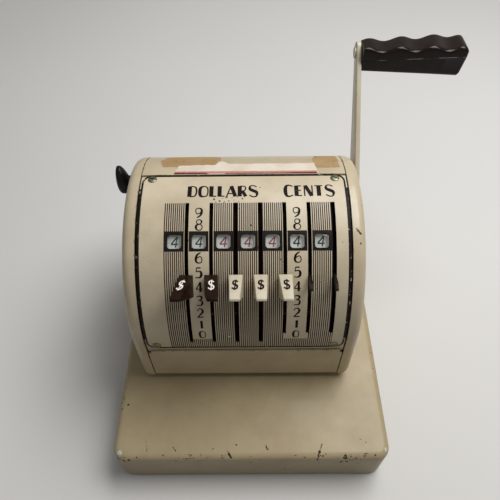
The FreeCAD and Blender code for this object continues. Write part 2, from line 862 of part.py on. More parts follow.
def frames():
    keep("left_frame", side_frame(-1))
    keep("right_frame", side_frame(1))
    inner_left = head_x - frame_inner
    inner_right = head_x + frame_inner
    outer_left = head_x - frame_outer
    outer_right = head_x + frame_outer
    rods = [rod_x(outer_left, outer_right, y, z, d.rod_radius) for y, z in spacer_places()]
    keep("frame_spacers", group(*rods))
    keep("selector_shaft", rod_x(outer_left - 0.5, outer_right + 0.5, drum_y, drum_z, d.shaft_radius))
    keep("type_shaft", rod_x(outer_left, outer_right, type_y, type_z, d.type_shaft_radius))
    ring = rod_x(inner_right - 0.5, outer_right + 1, drive_y, drive_z, d.bushing_radius - d.press_gap)
    bore = rod_x(inner_right - 1, outer_right + 2, drive_y, drive_z, d.drive_radius + d.running_gap)
    keep("drive_bushing", cut(ring, bore))

    # comb of leaf springs that click the segments into place
    bar = rod_x(outer_left, outer_right, comb_y, comb_z, d.rod_radius)
    tip = d.detent_radius + d.free_gap
    half = d.comb_spring / 2
    fingers = []
    for column in COLUMNS:
        middle = -slot_x(column)
        finger = fresh("Part::Box", "finger")
        bind(finger, "Length", d.comb_reach - tip)
        bind(finger, "Width", d.comb_spring)
        bind(finger, "Height", 3)
        turn = FreeCAD.Rotation(FreeCAD.Vector(0, 0, 1), d.detent_angle.number)
        finger.Placement = FreeCAD.Placement(FreeCAD.Vector(0, 0, 0), turn)
        bind(finger, "Placement.Base.x", tip * cosine(d.detent_angle) + half * sine(d.detent_angle))
        bind(finger, "Placement.Base.y", tip * sine(d.detent_angle) - half * cosine(d.detent_angle))
        bind(finger, "Placement.Base.z", middle - 1.5)
        fingers.append(finger)
    comb = in_drum(group(*fingers))
    keep("detent_comb", fuse(bar, comb))

    keep("ink_shaft", rod_x(outer_left, outer_right, ink_y, ink_z, d.ink_shaft_radius))
    felt = rod_x(slot_x(1) - d.pitch + 1, slot_x(7), ink_y, ink_z, d.ink_roller_radius)
    bore = rod_x(slot_x(1) - d.pitch, slot_x(7) + 1, ink_y, ink_z, d.ink_shaft_radius + d.running_gap)
    keep("ink_roller", cut(felt, bore))


# ---------------------------------------------------------------------------------- selectors

def turned_corner(radius, across, angle):
    """A corner at a distance out along a direction and a distance to its left."""
    along = cosine(angle)
    upward = sine(angle)
    return corner(radius * along - across * upward, radius * upward + across * along)


def tooth_corners(pitch_radius, angle):
    """The four corners of one gear tooth whose middle lies at angle."""
    module = d.gear_module
    root_radius = pitch_radius - 1.2 * module
    tip_radius = pitch_radius + 0.85 * module
    half_root = 0.95 * module
    half_tip = 0.34 * module
    return [turned_corner(root_radius, -half_root, angle), turned_corner(tip_radius, -half_tip, angle),
            turned_corner(tip_radius, half_tip, angle), turned_corner(root_radius, half_root, angle)]


def rim_corner(radius, angle):
    return turned_corner(radius, 0, angle)


def segment_master():
    """One selector segment about local Z, with its lever along local X and its slot plane at z = 0.

    The plate is one outline: the rim that carries the number band, with the lever's tab standing
    out of it, then the notched detent quadrant, then the gear sector.
    """
    half = d.lever_thick / 2
    left = d.pitch - half - d.free_gap
    first = (d.window_digit - 9) * d.digit_step - 3.6
    last = (d.window_digit + 1) * d.digit_step + 3.2
    reach = d.drum_radius + d.tab_reach
    tab_low = d.band_radius * sine(d.tab_low)
    tab_high = d.drum_radius * sine(d.tab_high) - d.running_gap
    tab_low_x = root(d.band_radius * d.band_radius - tab_low * tab_low)
    tab_high_x = root(d.band_radius * d.band_radius - tab_high * tab_high)
    outline = [rim_corner(d.hub_radius, first - 16), rim_corner(d.band_radius, first)]
    outline[-1].arc = (0, 0, True)
    outline += [
        corner(tab_low_x, tab_low),
        corner(reach, -d.tab_droop),
        corner(reach + 1, 1),
        corner(reach - 1, 4.5),
        corner(d.drum_radius, tab_high),
        corner(tab_high_x, tab_high)]
    outline[-1].arc = (0, 0, True)
    outline += [rim_corner(d.band_radius, last), rim_corner(d.hub_radius, last + 16)]
    first_notch = d.detent_angle - (d.zero_angle + d.digit_step * 9)
    outline.append(rim_corner(d.detent_radius, first_notch - d.digit_step / 2))
    for index in range(11):
        angle = first_notch + d.digit_step * index
        outline.append(rim_corner(d.detent_radius - d.notch_depth, angle))
        outline.append(rim_corner(d.detent_radius, angle + d.digit_step / 2))
    outline.append(rim_corner(d.hub_radius, first_notch + d.digit_step * 12))
    for index in range(-2, 4):
        outline += tooth_corners(gear_radius, mesh_angle() + 360 / d.sector_teeth * (index - 0.5))
    band_end = half + d.band_width + 0.8
    body = fuse(plate("xy", -half, d.lever_thick, outline),
                disc(-half - 0.6, left - 0.6 - half, d.hub_radius),
                ring_slice(first, last, -half, band_end, d.band_radius - d.band_thick, d.band_radius))
    return cut(body, disc(-d.pitch, d.pitch * 2, d.shaft_radius + d.running_gap))


def turn(thing, angle):
    thing.Placement = FreeCAD.Placement(FreeCAD.Vector(0, 0, 0), FreeCAD.Rotation(0, 0, 0, 1))
    bind(thing, "Placement.Rotation.Axis.z", 1)
    bind(thing, "Placement.Rotation.Angle", angle)
    return thing


def mesh_direction():
    """Direction from the selector shaft to the type shaft, as an angle in the drum frame."""
    angle = math.degrees(math.atan2(-d.type_drop.number, type_forward.number))
    return Size(angle, "(0 - asin(%s) / 1 deg)" % (d.type_drop / centre_distance).text)


def mesh_angle():
    """Where the sector's middle tooth lies from the lever, at rest."""
    return mesh_direction() - rest_angle


def type_wheel_master():
    """One type wheel about local Z: pinion in the slot plane, and raised type to its left."""
    half = d.lever_thick / 2
    toward = mesh_direction() + 180
    pinion_corners = []
    for index in range(int(d.wheel_teeth.number)):
        pinion_corners += tooth_corners(pinion_radius, toward + 360 / d.wheel_teeth * index)
    pinion = plate("xy", -half - 0.3, d.lever_thick + 1.7, pinion_corners)
    core = d.type_radius - 3
    wide = d.type_face / 2
    rim_corners = []
    for index in range(11):
        angle = -90 + 2 * d.digit_step * (index - 1 - d.rest_digit)
        rim_corners += [turned_corner(core, -wide, angle), turned_corner(d.type_radius, 0.4 - wide, angle),
                        turned_corner(d.type_radius, wide - 0.4, angle), turned_corner(core, wide, angle)]
    rim_corners[-1].arc = (0, 0, True)
    wheel = plate("xy", half + 1.4, 13.2, rim_corners)
    return cut(fuse(wheel, pinion), disc(-d.pitch, d.pitch * 2, d.type_shaft_radius + d.running_gap))


def cap_master(bend):
    """A wedge cap: wide and deep at the root, blunt at the tip, with a pocket for the tab.

    bend is how far the tip has been pushed along local Z, which is to the left of the machine.
    """
    start = d.drum_radius + d.cap_start
    stop = d.drum_radius + d.cap_reach
    half_root = d.cap_root_width / 2
    half_tip = d.cap_tip_width / 2
    wide = plate("xy", -d.cap_root_width, d.cap_root_width * 2, [
        corner(start, -d.cap_root_bottom),
        corner(stop - 0.6, -d.cap_tip_bottom),
        corner(stop, 0),
        corner(stop, d.cap_tip_top - 0.4),
        corner(stop - 0.6, d.cap_tip_top),
        corner(start + 1, d.cap_root_top),
        corner(start, d.cap_root_top - 1)])
    sides = plate("xz", -d.cap_reach / 2, d.cap_reach, [
        corner(start - 1, -half_root),
        corner(start, -half_root),
        corner(stop, bend - half_tip),
        corner(stop, bend + half_tip),
        corner(start, half_root),
        corner(start - 1, half_root)])
    outer = d.drum_radius + d.tab_reach
    gap = size(0.1)
    half = d.lever_thick / 2 + gap
    pocket = plate("xy", -half, half * 2, [
        corner(start - 1, -d.tab_droop / 2 - gap),
        corner(outer, -d.tab_droop - gap * 2),
        corner(outer + 1.4, 1),
        corner(outer - 0.8, 4.5 + gap * 2),
        corner(start - 1, d.drum_radius * sine(d.tab_high) + gap)])
    return cut(common(wide, sides), pocket)


def tilted(master, x, y=None, z=None, angle=None):
    """A copy of a piece made about local Z, in the machine: at x, turned up by angle."""
    copy = group(master)
    if angle is not None:
        turn(copy, angle)
    outer = group(copy)
    return in_drum(outer, x, y, z)


def selectors():
    segment = segment_master()
    wheel = type_wheel_master()
    straight_cap = cap_master(size(0))
    caps = {1: cap_master(d.cap_bend_left), 2: cap_master(-d.cap_bend_right)}
    for column in COLUMNS:
        keep("selector_segment_%d" % column, tilted(segment, slot_x(column), angle=rest_angle))
        keep("type_wheel_%d" % column, tilted(wheel, slot_x(column), type_y, type_z))
    for column in CAPPED:
        cap = caps.get(column, straight_cap)
        keep("lever_cap_%d" % column, tilted(cap, slot_x(column), angle=rest_angle))


# ---------------------------------------------------------------------------------- handle and platen

arm_x0 = head_x + d.head_width / 2 + d.arm_gap
arm_x1 = arm_x0 + d.arm_thick


def leaning(thing):
    """Stand a piece on the drive shaft, leaning back: its local Z runs up the arm."""
    thing.Placement = FreeCAD.Placement(FreeCAD.Vector(0, 0, 0), FreeCAD.Rotation(1, 0, 0, 0))
    bind(thing, "Placement.Rotation.Axis.x", 1)
    bind(thing, "Placement.Rotation.Angle", -d.arm_lean)
    bind(thing, "Placement.Base.y", drive_y)
    bind(thing, "Placement.Base.z", drive_z)
    return thing


def handle():
    # shaft with a flange outside the cover and a square end that carries the arm
    shaft = rod_x(cam_x0 - 1, arm_x1 + 1.5, drive_y, drive_z, d.drive_radius)
    flange = rod_x(head_x + d.head_width / 2 + 0.6, arm_x0, drive_y, drive_z, d.flange_radius)
    keep("drive_shaft", fuse(shaft, flange))

    tip_z = d.arm_length - d.arm_tip
    narrowing = (d.arm_root - d.arm_tip) / tip_z
    slope = Size(math.degrees(math.asin(narrowing.number)), "(asin(%s) / 1 deg)" % narrowing.text)
    bar = plate("yz", arm_x0, d.arm_thick, [
        corner(d.arm_root * cosine(slope), d.arm_root * sine(slope)),
        corner(d.arm_tip * cosine(slope), tip_z + d.arm_tip * sine(slope), (0, tip_z, True)),
        corner(-d.arm_tip * cosine(slope), tip_z + d.arm_tip * sine(slope)),
        corner(-d.arm_root * cosine(slope), d.arm_root * sine(slope), (0, 0, True))],
        circle(0, 0, d.drive_radius + d.press_gap), circle(0, d.grip_reach, d.grip_shank_radius + 0.1))
    keep("handle_arm", leaning(bar))
    nut = cut(rod_x(arm_x1, arm_x1 + d.nut_height, drive_y, drive_z, d.nut_radius),
              rod_x(arm_x1, arm_x1 + 2, drive_y, drive_z, d.drive_radius + 0.1))
    keep("handle_cap_nut", nut)

    # scalloped grip: four finger flutes along its top, held by one screw through the arm
    tunnel = leaning(group(rod_x(arm_x1 - 1, arm_x1 + d.grip_shank_depth + 1, 0, d.grip_reach,
                                 d.grip_shank_radius + d.running_gap)))
    keep("handle_grip", cut(at_drive(grip_body()), tunnel))
    screw = rod_x(arm_x0 - 1.2, arm_x0, 0, d.grip_reach, d.grip_screw_radius)
    shank = rod_x(arm_x0, arm_x1 + d.grip_shank_depth, 0, d.grip_reach, d.grip_shank_radius)
    keep("grip_screw", leaning(fuse(screw, shank)))

    # cam: a dwell, then a radius that grows in step with the handle
    points = []
    steps = 6
    for index in range(steps + 1):
        share = index / steps
        points.append(rim_corner(d.cam_base + d.cam_rise * share, -d.handle_swing * share))
    back_angle = -d.handle_swing - 12
    points.append(rim_corner(d.cam_base + d.cam_rise, back_angle))
    points.append(rim_corner(d.cam_base, back_angle - 35))
    points[-1].arc = (0, 0, False)
    cam = plate("yz", cam_x0, d.cam_thick, points, circle(0, 0, d.drive_radius + d.press_gap))
    move(cam, 0, drive_y, drive_z)
    keep("drive_cam", cam)


def at_drive(thing):
    """Set an upright piece on the drive shaft."""
    bind(thing, "Placement.Base.y", drive_y)
    bind(thing, "Placement.Base.z", drive_z)
    return thing


def grip_body():
    """The grip's front view is drawn in (x, height over the drive shaft) and padded to the back.

    Its top is a row of arcs, crest and flute in turn. Its back flares out towards the free end.
    """
    x0 = arm_x1 + 0.05
    x1 = x0 + d.grip_length
    half_wave = d.grip_pitch / 2
    quarter_wave = half_wave / 2
    deepest = d.grip_thick + d.grip_flare

    def peak(index):
        return x0 + d.grip_first + d.grip_pitch * index, d.grip_crest + d.grip_rise * index

    last_x, last_z = peak(3)
    corners = [
        corner(x0, d.grip_foot),
        corner(x1 - 8, d.grip_foot - d.grip_drop),
        corner(x1 - 2, d.grip_foot + 10),
        corner(x1, d.grip_foot + 18),
        corner(x1 - 1, last_z - 0.6)]
    for index in (3, 2, 1):
        peak_x, peak_z = peak(index)
        prior_x, prior_z = peak(index - 1)
        valley_x = prior_x + half_wave
        valley_z = prior_z - d.grip_scallop
        fall = peak_z - valley_z
        climb = prior_z - valley_z
        fall_radius = (half_wave * half_wave + fall * fall) / (4 * fall)
        climb_radius = (half_wave * half_wave + climb * climb) / (4 * climb)
        fall_end = (valley_x, valley_z + fall_radius, False)
        climb_end = (prior_x, prior_z - climb_radius, True)
        corners.append(corner(peak_x, peak_z, (peak_x, peak_z - fall_radius, True)))
        corners.append(corner(peak_x - quarter_wave, peak_z - fall / 2, fall_end))
        corners.append(corner(valley_x, valley_z, (valley_x, valley_z + climb_radius, False)))
        corners.append(corner(valley_x - quarter_wave, valley_z + climb / 2, climb_end))
    first_x, first_z = peak(0)
    corners.append(corner(first_x, first_z))
    corners.append(corner(x0, first_z - 0.4))
    body = plate("xz", -(d.grip_front + deepest), deepest, corners)
    pocket(body, "xy", d.grip_crest + 10, 60, [
        corner(x0 - 1, d.grip_front + d.grip_thick),
        corner(x1 + 1, d.grip_front + deepest),
        corner(x1 + 1, d.grip_front + deepest + 5),
        corner(x0 - 1, d.grip_front + deepest + 5)])
    front = d.grip_front.number

    def rim(edge):
        ends = edge.BoundBox
        return near(ends.YMin, ends.YMax) and near(ends.YMin, front) and ends.XMax > x0.number + 1

    return bevel_edges(body, d.grip_round, rim)


def platen():
    lever_x0 = platen_x0 + 2
    lever_x1 = cam_x1 + 1
    keep("platen_pivot", rod_x(lever_x0 - 4.5, lever_x1 + 4.5, pivot_y, pivot_z, d.pivot_radius))
    tube = rod_x(lever_x0, lever_x1, pivot_y, pivot_z, d.lever_tube)
    arm_z0 = pivot_z - d.lever_half
    arm_z1 = pivot_z + d.lever_half
    arms = [box(x, x + 6, type_y - 6, pivot_y, arm_z0, arm_z1) for x in (lever_x0, platen_x1 - 8)]
    bar = box(lever_x0, platen_x1 - 2, type_y - 6, type_y + 6, arm_z0, arm_z1)
    roller_y = drive_y + d.cam_base + d.roller_radius + 0.6
    post = plate("yz", post_x0, 3, [
        corner(pivot_y - 6.5, pivot_z), corner(roller_y - 5, drive_z, (roller_y, drive_z, False)),
        corner(roller_y + 5, drive_z), corner(pivot_y + 6.5, pivot_z)])
    pin = rod_x(post_x0, cam_x1 + 0.5, roller_y, drive_z, d.roller_pin)
    bore = rod_x(lever_x0 - 1, lever_x1 + 1, pivot_y, pivot_z, d.pivot_radius + d.running_gap)
    keep("platen_lever", cut(fuse(tube, bar, *arms, post, pin), bore))
    roller = cut(rod_x(cam_x0, cam_x1, roller_y, drive_z, d.roller_radius),
                 rod_x(cam_x0 - 1, cam_x1 + 1, roller_y, drive_z, d.roller_pin + d.running_gap))
    keep("cam_roller", roller)
    pad_z1 = drum_z - d.platen_top_drop
    pad = box(platen_x0, platen_x1, type_y - d.platen_half, type_y + d.platen_half, arm_z1, pad_z1)
    keep("platen", pad)
    brackets = []
    seat_z = base_top - d.pan_wall
    low_z = pivot_z - d.lever_tube
    for x in (lever_x0 - 3.5, lever_x1 + 0.5):
        outline = [
            corner(pivot_y - 9, seat_z),
            corner(pivot_y - 7, low_z),
            corner(pivot_y + 7, low_z),
            corner(pivot_y + 9, seat_z)]
        brackets.append(plate("yz", x, d.bracket_thick, outline,
                              circle(pivot_y, pivot_z, d.pivot_radius + d.running_gap)))
    keep("pivot_brackets", group(*brackets))


# ---------------------------------------------------------------------------------- left side lever

def side_lever():
    face_x = head_x - d.head_width / 2
    pin = rod_x(face_x - 5.5, head_x - frame_inner + 3, side_y, side_z, d.side_pivot_radius)
    head = rod_x(face_x - 7, face_x - 5.5, side_y, side_z, d.side_head_radius)
    keep("side_pivot", fuse(pin, head))
    root_y = d.side_root * cosine(10)
    root_z = d.side_root * sine(10)
    arm = plate("yz", face_x - 3.6, d.side_arm_thick, [
        corner(root_y, root_z),
        corner(d.side_tip, d.side_reach, (0, d.side_reach, True)),
        corner(-d.side_tip, d.side_reach),
        corner(-root_y, root_z, (0, 0, True))],
        circle(0, 0, d.side_pivot_radius + d.running_gap))
    keep("side_lever_arm", side_leaning(arm))
    low = d.side_reach - 14
    high = d.side_reach + 8
    start = face_x - 24
    knob = plate("yz", start, d.knob_length, [
        corner(d.knob_low_radius, low, (0, low, False)),
        corner(-d.knob_low_radius, low),
        corner(-d.knob_high_radius, high, (0, high, False)),
        corner(d.knob_high_radius, high)])
    outer = start.number
    bevel_edges(knob, d.knob_bend,
                lambda edge: near(edge.BoundBox.XMin, outer) and near(edge.BoundBox.XMax, outer))
    keep("side_lever_knob", side_leaning(knob))


def side_leaning(thing):
    thing.Placement = FreeCAD.Placement(FreeCAD.Vector(0, 0, 0), FreeCAD.Rotation(1, 0, 0, 0))
    bind(thing, "Placement.Rotation.Axis.x", 1)
    bind(thing, "Placement.Rotation.Angle", -d.side_lean)
    bind(thing, "Placement.Base.y", side_y)
    bind(thing, "Placement.Base.z", side_z)
    return thing


base()
head_shells()
face()
frames()
selectors()
handle()
platen()
side_lever()
doc.recompute()

failed = [thing for thing in doc.Objects if "Invalid" in thing.State or "Error" in thing.State]
for thing in failed:
    print("failed:", thing.Name, thing.Label, thing.getStatusString())
if failed:
    raise RuntimeError("%d objects failed" % len(failed))
for label, thing in parts.items():
    if thing.Shape.isNull() or not thing.Shape.isValid() or not thing.Shape.Solids:
        raise RuntimeError("bad shape: " + label)

os.makedirs("parts", exist_ok=True)
for label, thing in parts.items():
    thing.Shape.exportStep("parts/%s.step" % label)
print(len(parts), "sub-parts")
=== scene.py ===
"""A desk check writer: seven selector levers with windows, a pull handle and a printing head.

Sizes are in millimetres in the part's own frame, X to the right, Y to the back and Z up, until a
finished mesh is written in metres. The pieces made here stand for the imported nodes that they
replace, or lie on them. Places on the drum are given by x, the height above its axis and an angle
in degrees that grows from the front over the top.
"""

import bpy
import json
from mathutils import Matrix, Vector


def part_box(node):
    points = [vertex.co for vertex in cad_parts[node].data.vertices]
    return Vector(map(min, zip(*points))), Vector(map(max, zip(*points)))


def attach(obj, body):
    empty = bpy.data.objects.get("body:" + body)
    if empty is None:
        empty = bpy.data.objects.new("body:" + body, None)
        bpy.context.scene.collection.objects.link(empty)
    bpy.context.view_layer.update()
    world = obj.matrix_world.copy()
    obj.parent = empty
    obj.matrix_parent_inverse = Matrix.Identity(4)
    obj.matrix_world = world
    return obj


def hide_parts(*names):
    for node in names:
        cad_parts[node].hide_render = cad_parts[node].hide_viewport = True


bl_info = {
    "name": "Check Writer",
    "version": (1, 0, 0),
    "blender": (4, 5, 0),
    "location": "View3D > Sidebar > Check Writer",
    "description": "Finished surfaces of a desk check writer on its packed frame",
    "category": "Object",
}

import json
import math

import bmesh
import bpy
from mathutils import Matrix, Vector, noise

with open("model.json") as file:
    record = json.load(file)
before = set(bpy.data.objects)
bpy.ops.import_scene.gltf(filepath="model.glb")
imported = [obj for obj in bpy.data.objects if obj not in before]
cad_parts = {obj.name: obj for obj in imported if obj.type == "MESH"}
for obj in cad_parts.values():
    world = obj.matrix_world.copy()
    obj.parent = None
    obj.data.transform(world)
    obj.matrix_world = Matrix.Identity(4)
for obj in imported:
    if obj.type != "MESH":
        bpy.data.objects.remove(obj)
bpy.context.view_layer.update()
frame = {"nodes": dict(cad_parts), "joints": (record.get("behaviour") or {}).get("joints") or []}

MM = 0.001
X, Y, Z = range(3)
COLUMNS = range(1, 8)
CAPPED = range(1, 6)
DARK_CAPS = (1, 2)
# the columns of printed digits, which have no lines
PLAIN = (2, 6)
JOINTS = {joint["name"]: joint for joint in frame["joints"]}


def pivot(joint):
    """Where a joint turns, in millimetres."""
    return Vector(JOINTS[joint]["pos_m"]) / MM


def node_box(node):
    """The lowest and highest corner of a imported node, in millimetres."""
    low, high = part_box(node)
    return low / MM, high / MM


def reach_from(node, y, z):
    """How far a node's farthest vertex lies from an axis along X."""
    return max(math.hypot(v.co.y / MM - y, v.co.z / MM - z) for v in frame["nodes"][node].data.vertices)


DRUM = pivot("selector_1_turn")
SLOTS = {column: pivot("selector_%d_turn" % column).x for column in COLUMNS}
PITCH = (SLOTS[7] - SLOTS[1]) / 6
RADIUS = reach_from("face_plate", DRUM.y, DRUM.z)
# the covers from the side: the drum's round, then a tighter round over the crown and a sloping back
CROWN_START = 100.0
CROWN_RADIUS = 70.0
CROWN = Vector((0.0, DRUM.y - (RADIUS - CROWN_RADIUS) * math.cos(math.radians(CROWN_START)),
                DRUM.z + (RADIUS - CROWN_RADIUS) * math.sin(math.radians(CROWN_START))))
BACK_SLOPE = 45.0
COVER_START = 95.4
# the lower and upper edge of the face plate
PLATE_FOOT = -1.5
PLATE_TOP = 95.0
# a lever moves one step from digit to digit; all of them are set to one digit, which the windows show
ZERO_ANGLE = 11.1
DIGIT_STEP = 6.8
SHOWN = 4
LEVER_REST = ZERO_ANGLE + SHOWN * DIGIT_STEP
WINDOW_ANGLE = LEVER_REST + 3 * DIGIT_STEP
# a printed digit's middle lies this much under its lever's place
DIGIT_DROP = 0.7
DIGIT_HEIGHT = 8.0


def linear(code):
    """An sRGB hex colour as linear red, green, blue and alpha."""
    parts = [int(code[i:i + 2], 16) / 255 for i in (1, 3, 5)]
    return tuple(c / 12.92 if c <= 0.04045 else ((c + 0.055) / 1.055) ** 2.4 for c in parts) + (1.0,)


# ------------------------------------------------------------------ sizes and colours

def length(name, description, default, least):
    return bpy.props.FloatProperty(
        name=name, description=description + ", in millimetres", default=default, min=least)


def tilt(name, description, degrees):
    return bpy.props.FloatProperty(
        name=name, description=description, default=math.radians(degrees), subtype="ANGLE")


def colour(name, description, code):
    return bpy.props.FloatVectorProperty(
        name=name, description=description, subtype="COLOR", size=4, min=0, max=1, default=linear(code))


class CheckWriterSizes(bpy.types.PropertyGroup):
    camera_place: bpy.props.FloatVectorProperty(
        name="Camera Place", description="Camera position, in millimetres", size=3,
        default=(2.3, -259.2, 491.8))
    camera_pitch: tilt("Camera Pitch", "How far the camera looks down", 51.75)
    camera_yaw: tilt("Camera Yaw", "How far the camera turns to the right", -0.44)
    camera_roll: tilt("Camera Roll", "Tilt of the picture", 0.8)
    sheet: length("Sheet", "Thickness of the pressed covers", 1.5, 0.5)
    cover_bend: length("Cover Bend", "Radius of the side covers' bent rim", 10.0, 1.0)
    base_corner: length("Base Corner", "Radius of the base's upright corners", 12.0, 2.0)
    base_bend: length("Base Bend", "Radius of the base's top edge", 6.0, 1.0)
    plate_corner: length("Plate Corner", "Radius of the face plate's corners", 8.0, 1.0)
    slot_width: length("Slot Width", "Width of the lever slots", 3.1, 2.0)
    stripe_pitch: length("Stripe Pitch", "Spacing of the printed lines", 1.62, 0.5)
    border: length("Border", "Width of the face plate's printed border", 1.45, 0.2)


class CheckWriterColours(bpy.types.PropertyGroup):
    enamel: colour("Enamel", "Baked enamel of the covers", "#C5B598")
    enamel_deep: colour("Aged Enamel", "Where the enamel has yellowed", "#B3A484")
    plate: colour("Plate", "Paint of the face plate", "#CEC0A5")
    plate_deep: colour("Aged Plate", "Where the plate's paint has yellowed", "#BDAE92")
    print_ink: colour("Print Ink", "Printed lettering and border", "#17100C")
    stripe_ink: colour("Stripe Ink", "Printed lines", "#2E201F")
    chip: colour("Chip", "Bare primer and rust under the enamel", "#30241A")
    maroon: colour("Maroon", "Dark lever caps", "#24120A")
    cream: colour("Cream", "Light lever caps", "#D6CBB6")
    bakelite: colour("Bakelite", "Grip", "#150A06")
    surround: colour("Surround", "Window surrounds", "#150E09")
    band: colour("Band", "Number bands", "#F4F6EE")
    teal_ink: colour("Teal Ink", "Digits of the first two bands", "#174245")
    red_ink: colour("Red Ink", "Digits of the middle bands", "#A0475A")
    dark_ink: colour("Dark Ink", "Digits of the last two bands", "#16231F")
    label: colour("Label", "Old paper label", "#DED3C4")
    label_rule: colour("Label Rule", "Ruled edge of the label", "#64201F")
    tape: colour("Tape", "Dried glue and tape", "#A08258")
    floor: colour("Floor", "Table top and backdrop", "#DEDCD8")


def sizes():
    return bpy.context.scene.check_writer_sizes


def tone(name):
    """A colour of the panel by its name, or a hex value, as linear numbers."""
    if name.startswith("#"):
        return linear(name)
    return tuple(getattr(bpy.context.scene.check_writer_colours, name))


# ------------------------------------------------------------------ places on the drum

def drum_point(x, height, angle):
    turn = math.radians(angle)
    return Vector((x, DRUM.y - height * math.cos(turn), DRUM.z + height * math.sin(turn)))


def arc(angle):
    """The length along the face, in millimetres, from the drum's front to an angle."""
    return math.radians(angle) * RADIUS


def bend_round(bm):
    """Bends a flat mesh round the drum: x stays, y is the length along the face, z the height over it."""
    for vert in bm.verts:
        vert.co = drum_point(vert.co.x, RADIUS + vert.co.z, math.degrees(vert.co.y / RADIUS))


def plate_span():
    """The x of the face plate's two sides."""
    low, high = node_box("face_plate")
    return low.x, high.x


# ------------------------------------------------------------------ meshes

def write(name, bm, body, slot, material, *replaces, sharp=32.0):
    """Writes a bmesh in millimetres as a finished piece that rides on a body."""
    bmesh.ops.scale(bm, vec=(MM, MM, MM), verts=bm.verts)
    mesh = bpy.data.meshes.new(name)
    bm.to_mesh(mesh)
    bm.free()
    mesh.materials.append(finish(material))
    mesh.polygons.foreach_set("use_smooth", [True] * len(mesh.polygons))
    mesh.set_sharp_from_angle(angle=math.radians(sharp))
    piece = bpy.data.objects.new(name, mesh)
    bpy.context.scene.collection.objects.link(piece)
    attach(piece, body)
    if replaces:
        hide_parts(*replaces)


def verts_in(geom):
    return [part for part in geom if isinstance(part, bmesh.types.BMVert)]


def lies_at(part, axis, place, near=1e-3):
    """Whether an edge or a face lies at a place along one axis."""
    return all(abs(vert.co[axis] - place) < near for vert in part.verts)


def run(edge, axis):
    """How far an edge runs along one axis."""
    return abs(edge.verts[0].co[axis] - edge.verts[1].co[axis])


def within(face, x0, x1, y0, y1):
    """Whether a face's middle lies in a rectangle of X and Y."""
    middle = face.calc_center_median()
    return x0 < middle.x < x1 and y0 < middle.y < y1


def outward(bm, front=None):
    """Points the faces of a closed mesh outwards, or those of an open sheet to its front."""
    bmesh.ops.recalc_face_normals(bm, faces=bm.faces)
    if front and sum(face.normal.dot(Vector(front)) for face in bm.faces) < 0:
        bmesh.ops.reverse_faces(bm, faces=bm.faces)


def bevel(bm, geom, radius, segments=3, affect="EDGES"):
    bmesh.ops.bevel(bm, geom=list(geom), offset=radius, offset_type="OFFSET", segments=segments, profile=0.5,
                    affect=affect, material=-1, clamp_overlap=affect == "EDGES")


def remove_faces(bm, test):
    """Takes away the faces that pass a test."""
    bmesh.ops.delete(bm, geom=[face for face in bm.faces if test(face)], context="FACES")


def chain(bm, start, *legs):
    """Edges from start. A leg is a point to run to, or (centre, axis, degrees, steps) to turn about."""
    last = bmesh.ops.create_vert(bm, co=start)["vert"][0]
    first = last
    for leg in legs:
        if len(leg) == 3:
            last = bmesh.ops.extrude_vert_indiv(bm, verts=[last])["verts"][0]
            last.co = leg
        else:
            centre, axis, degrees, steps = leg
            made = bmesh.ops.spin(bm, geom=[last], cent=centre, axis=axis, dvec=(0, 0, 0),
                                  angle=math.radians(degrees), steps=steps, use_duplicate=False)
            last = verts_in(made["geom_last"])[0]
    return [first, last]


def fill(bm):
    return bmesh.ops.contextual_create(bm, geom=bm.edges[:])["faces"][0]


def outline(bm, start, *legs):
    """A face whose edge runs as a chain does and then back to its start."""
    bmesh.ops.contextual_create(bm, geom=chain(bm, start, *legs))
    return fill(bm)


def extrude(bm, faces, offset):
    """Pushes faces out into a block."""
    made = bmesh.ops.extrude_face_region(bm, geom=faces)
    bmesh.ops.translate(bm, vec=offset, verts=verts_in(made["geom"]))


def draw_out(bm, edges, offset):
    """Pulls a wall out of edges."""
    made = bmesh.ops.extrude_edge_only(bm, edges=edges)
    bmesh.ops.translate(bm, vec=offset, verts=verts_in(made["geom"]))


def slice_at(bm, axis, places, only=None):
    """Cuts the mesh, or only its faces that pass a test, through at each place along one axis."""
    normal = Vector((0, 0, 0))
    normal[axis] = 1
    for place in places:
        geom = bm.verts[:] + bm.edges[:] + bm.faces[:]
        if only:
            faces = [face for face in bm.faces if only(face)]
            geom = list(dict.fromkeys(part for face in faces for part in (*face.verts, *face.edges))) + faces
        bmesh.ops.bisect_plane(bm, geom=geom, dist=1e-6, plane_co=normal * place, plane_no=normal)


def spread(low, high, step):
    """Even places between low and high, at most a step apart."""
    count = max(1, math.ceil((high - low) / step))
    return [low + (high - low) * i / count for i in range(1, count)]


def extent(bm, axis):
    places = [vert.co[axis] for vert in bm.verts]
    return min(places), max(places)


def block(bm, low, high):
    low, high = Vector(low), Vector(high)
    made = bmesh.ops.create_cube(bm, size=1.0)
    bmesh.ops.scale(bm, vec=high - low, verts=made["verts"])
    bmesh.ops.translate(bm, vec=(low + high) / 2, verts=made["verts"])


def flat_sheet(bm, half_x, half_y):
    """One flat face round the origin."""
    bmesh.ops.create_grid(bm, x_segments=1, y_segments=1, size=1.0)
    bmesh.ops.scale(bm, vec=(half_x, half_y, 1), verts=bm.verts)


def lathe(bm, centre, axis, profile, steps):
    """A turned shape: profile is (along, radius) from a centre along an axis."""
    axis = Vector(axis)
    side = axis.orthogonal().normalized()
    chain(bm, *[Vector(centre) + axis * along + side * radius for along, radius in profile])
    bmesh.ops.spin(bm, geom=bm.verts[:] + bm.edges[:], cent=centre, axis=axis, dvec=(0, 0, 0), angle=math.tau,
                   steps=steps, use_merge=True, use_duplicate=False)
    bmesh.ops.remove_doubles(bm, verts=bm.verts, dist=1e-4)
    outward(bm)


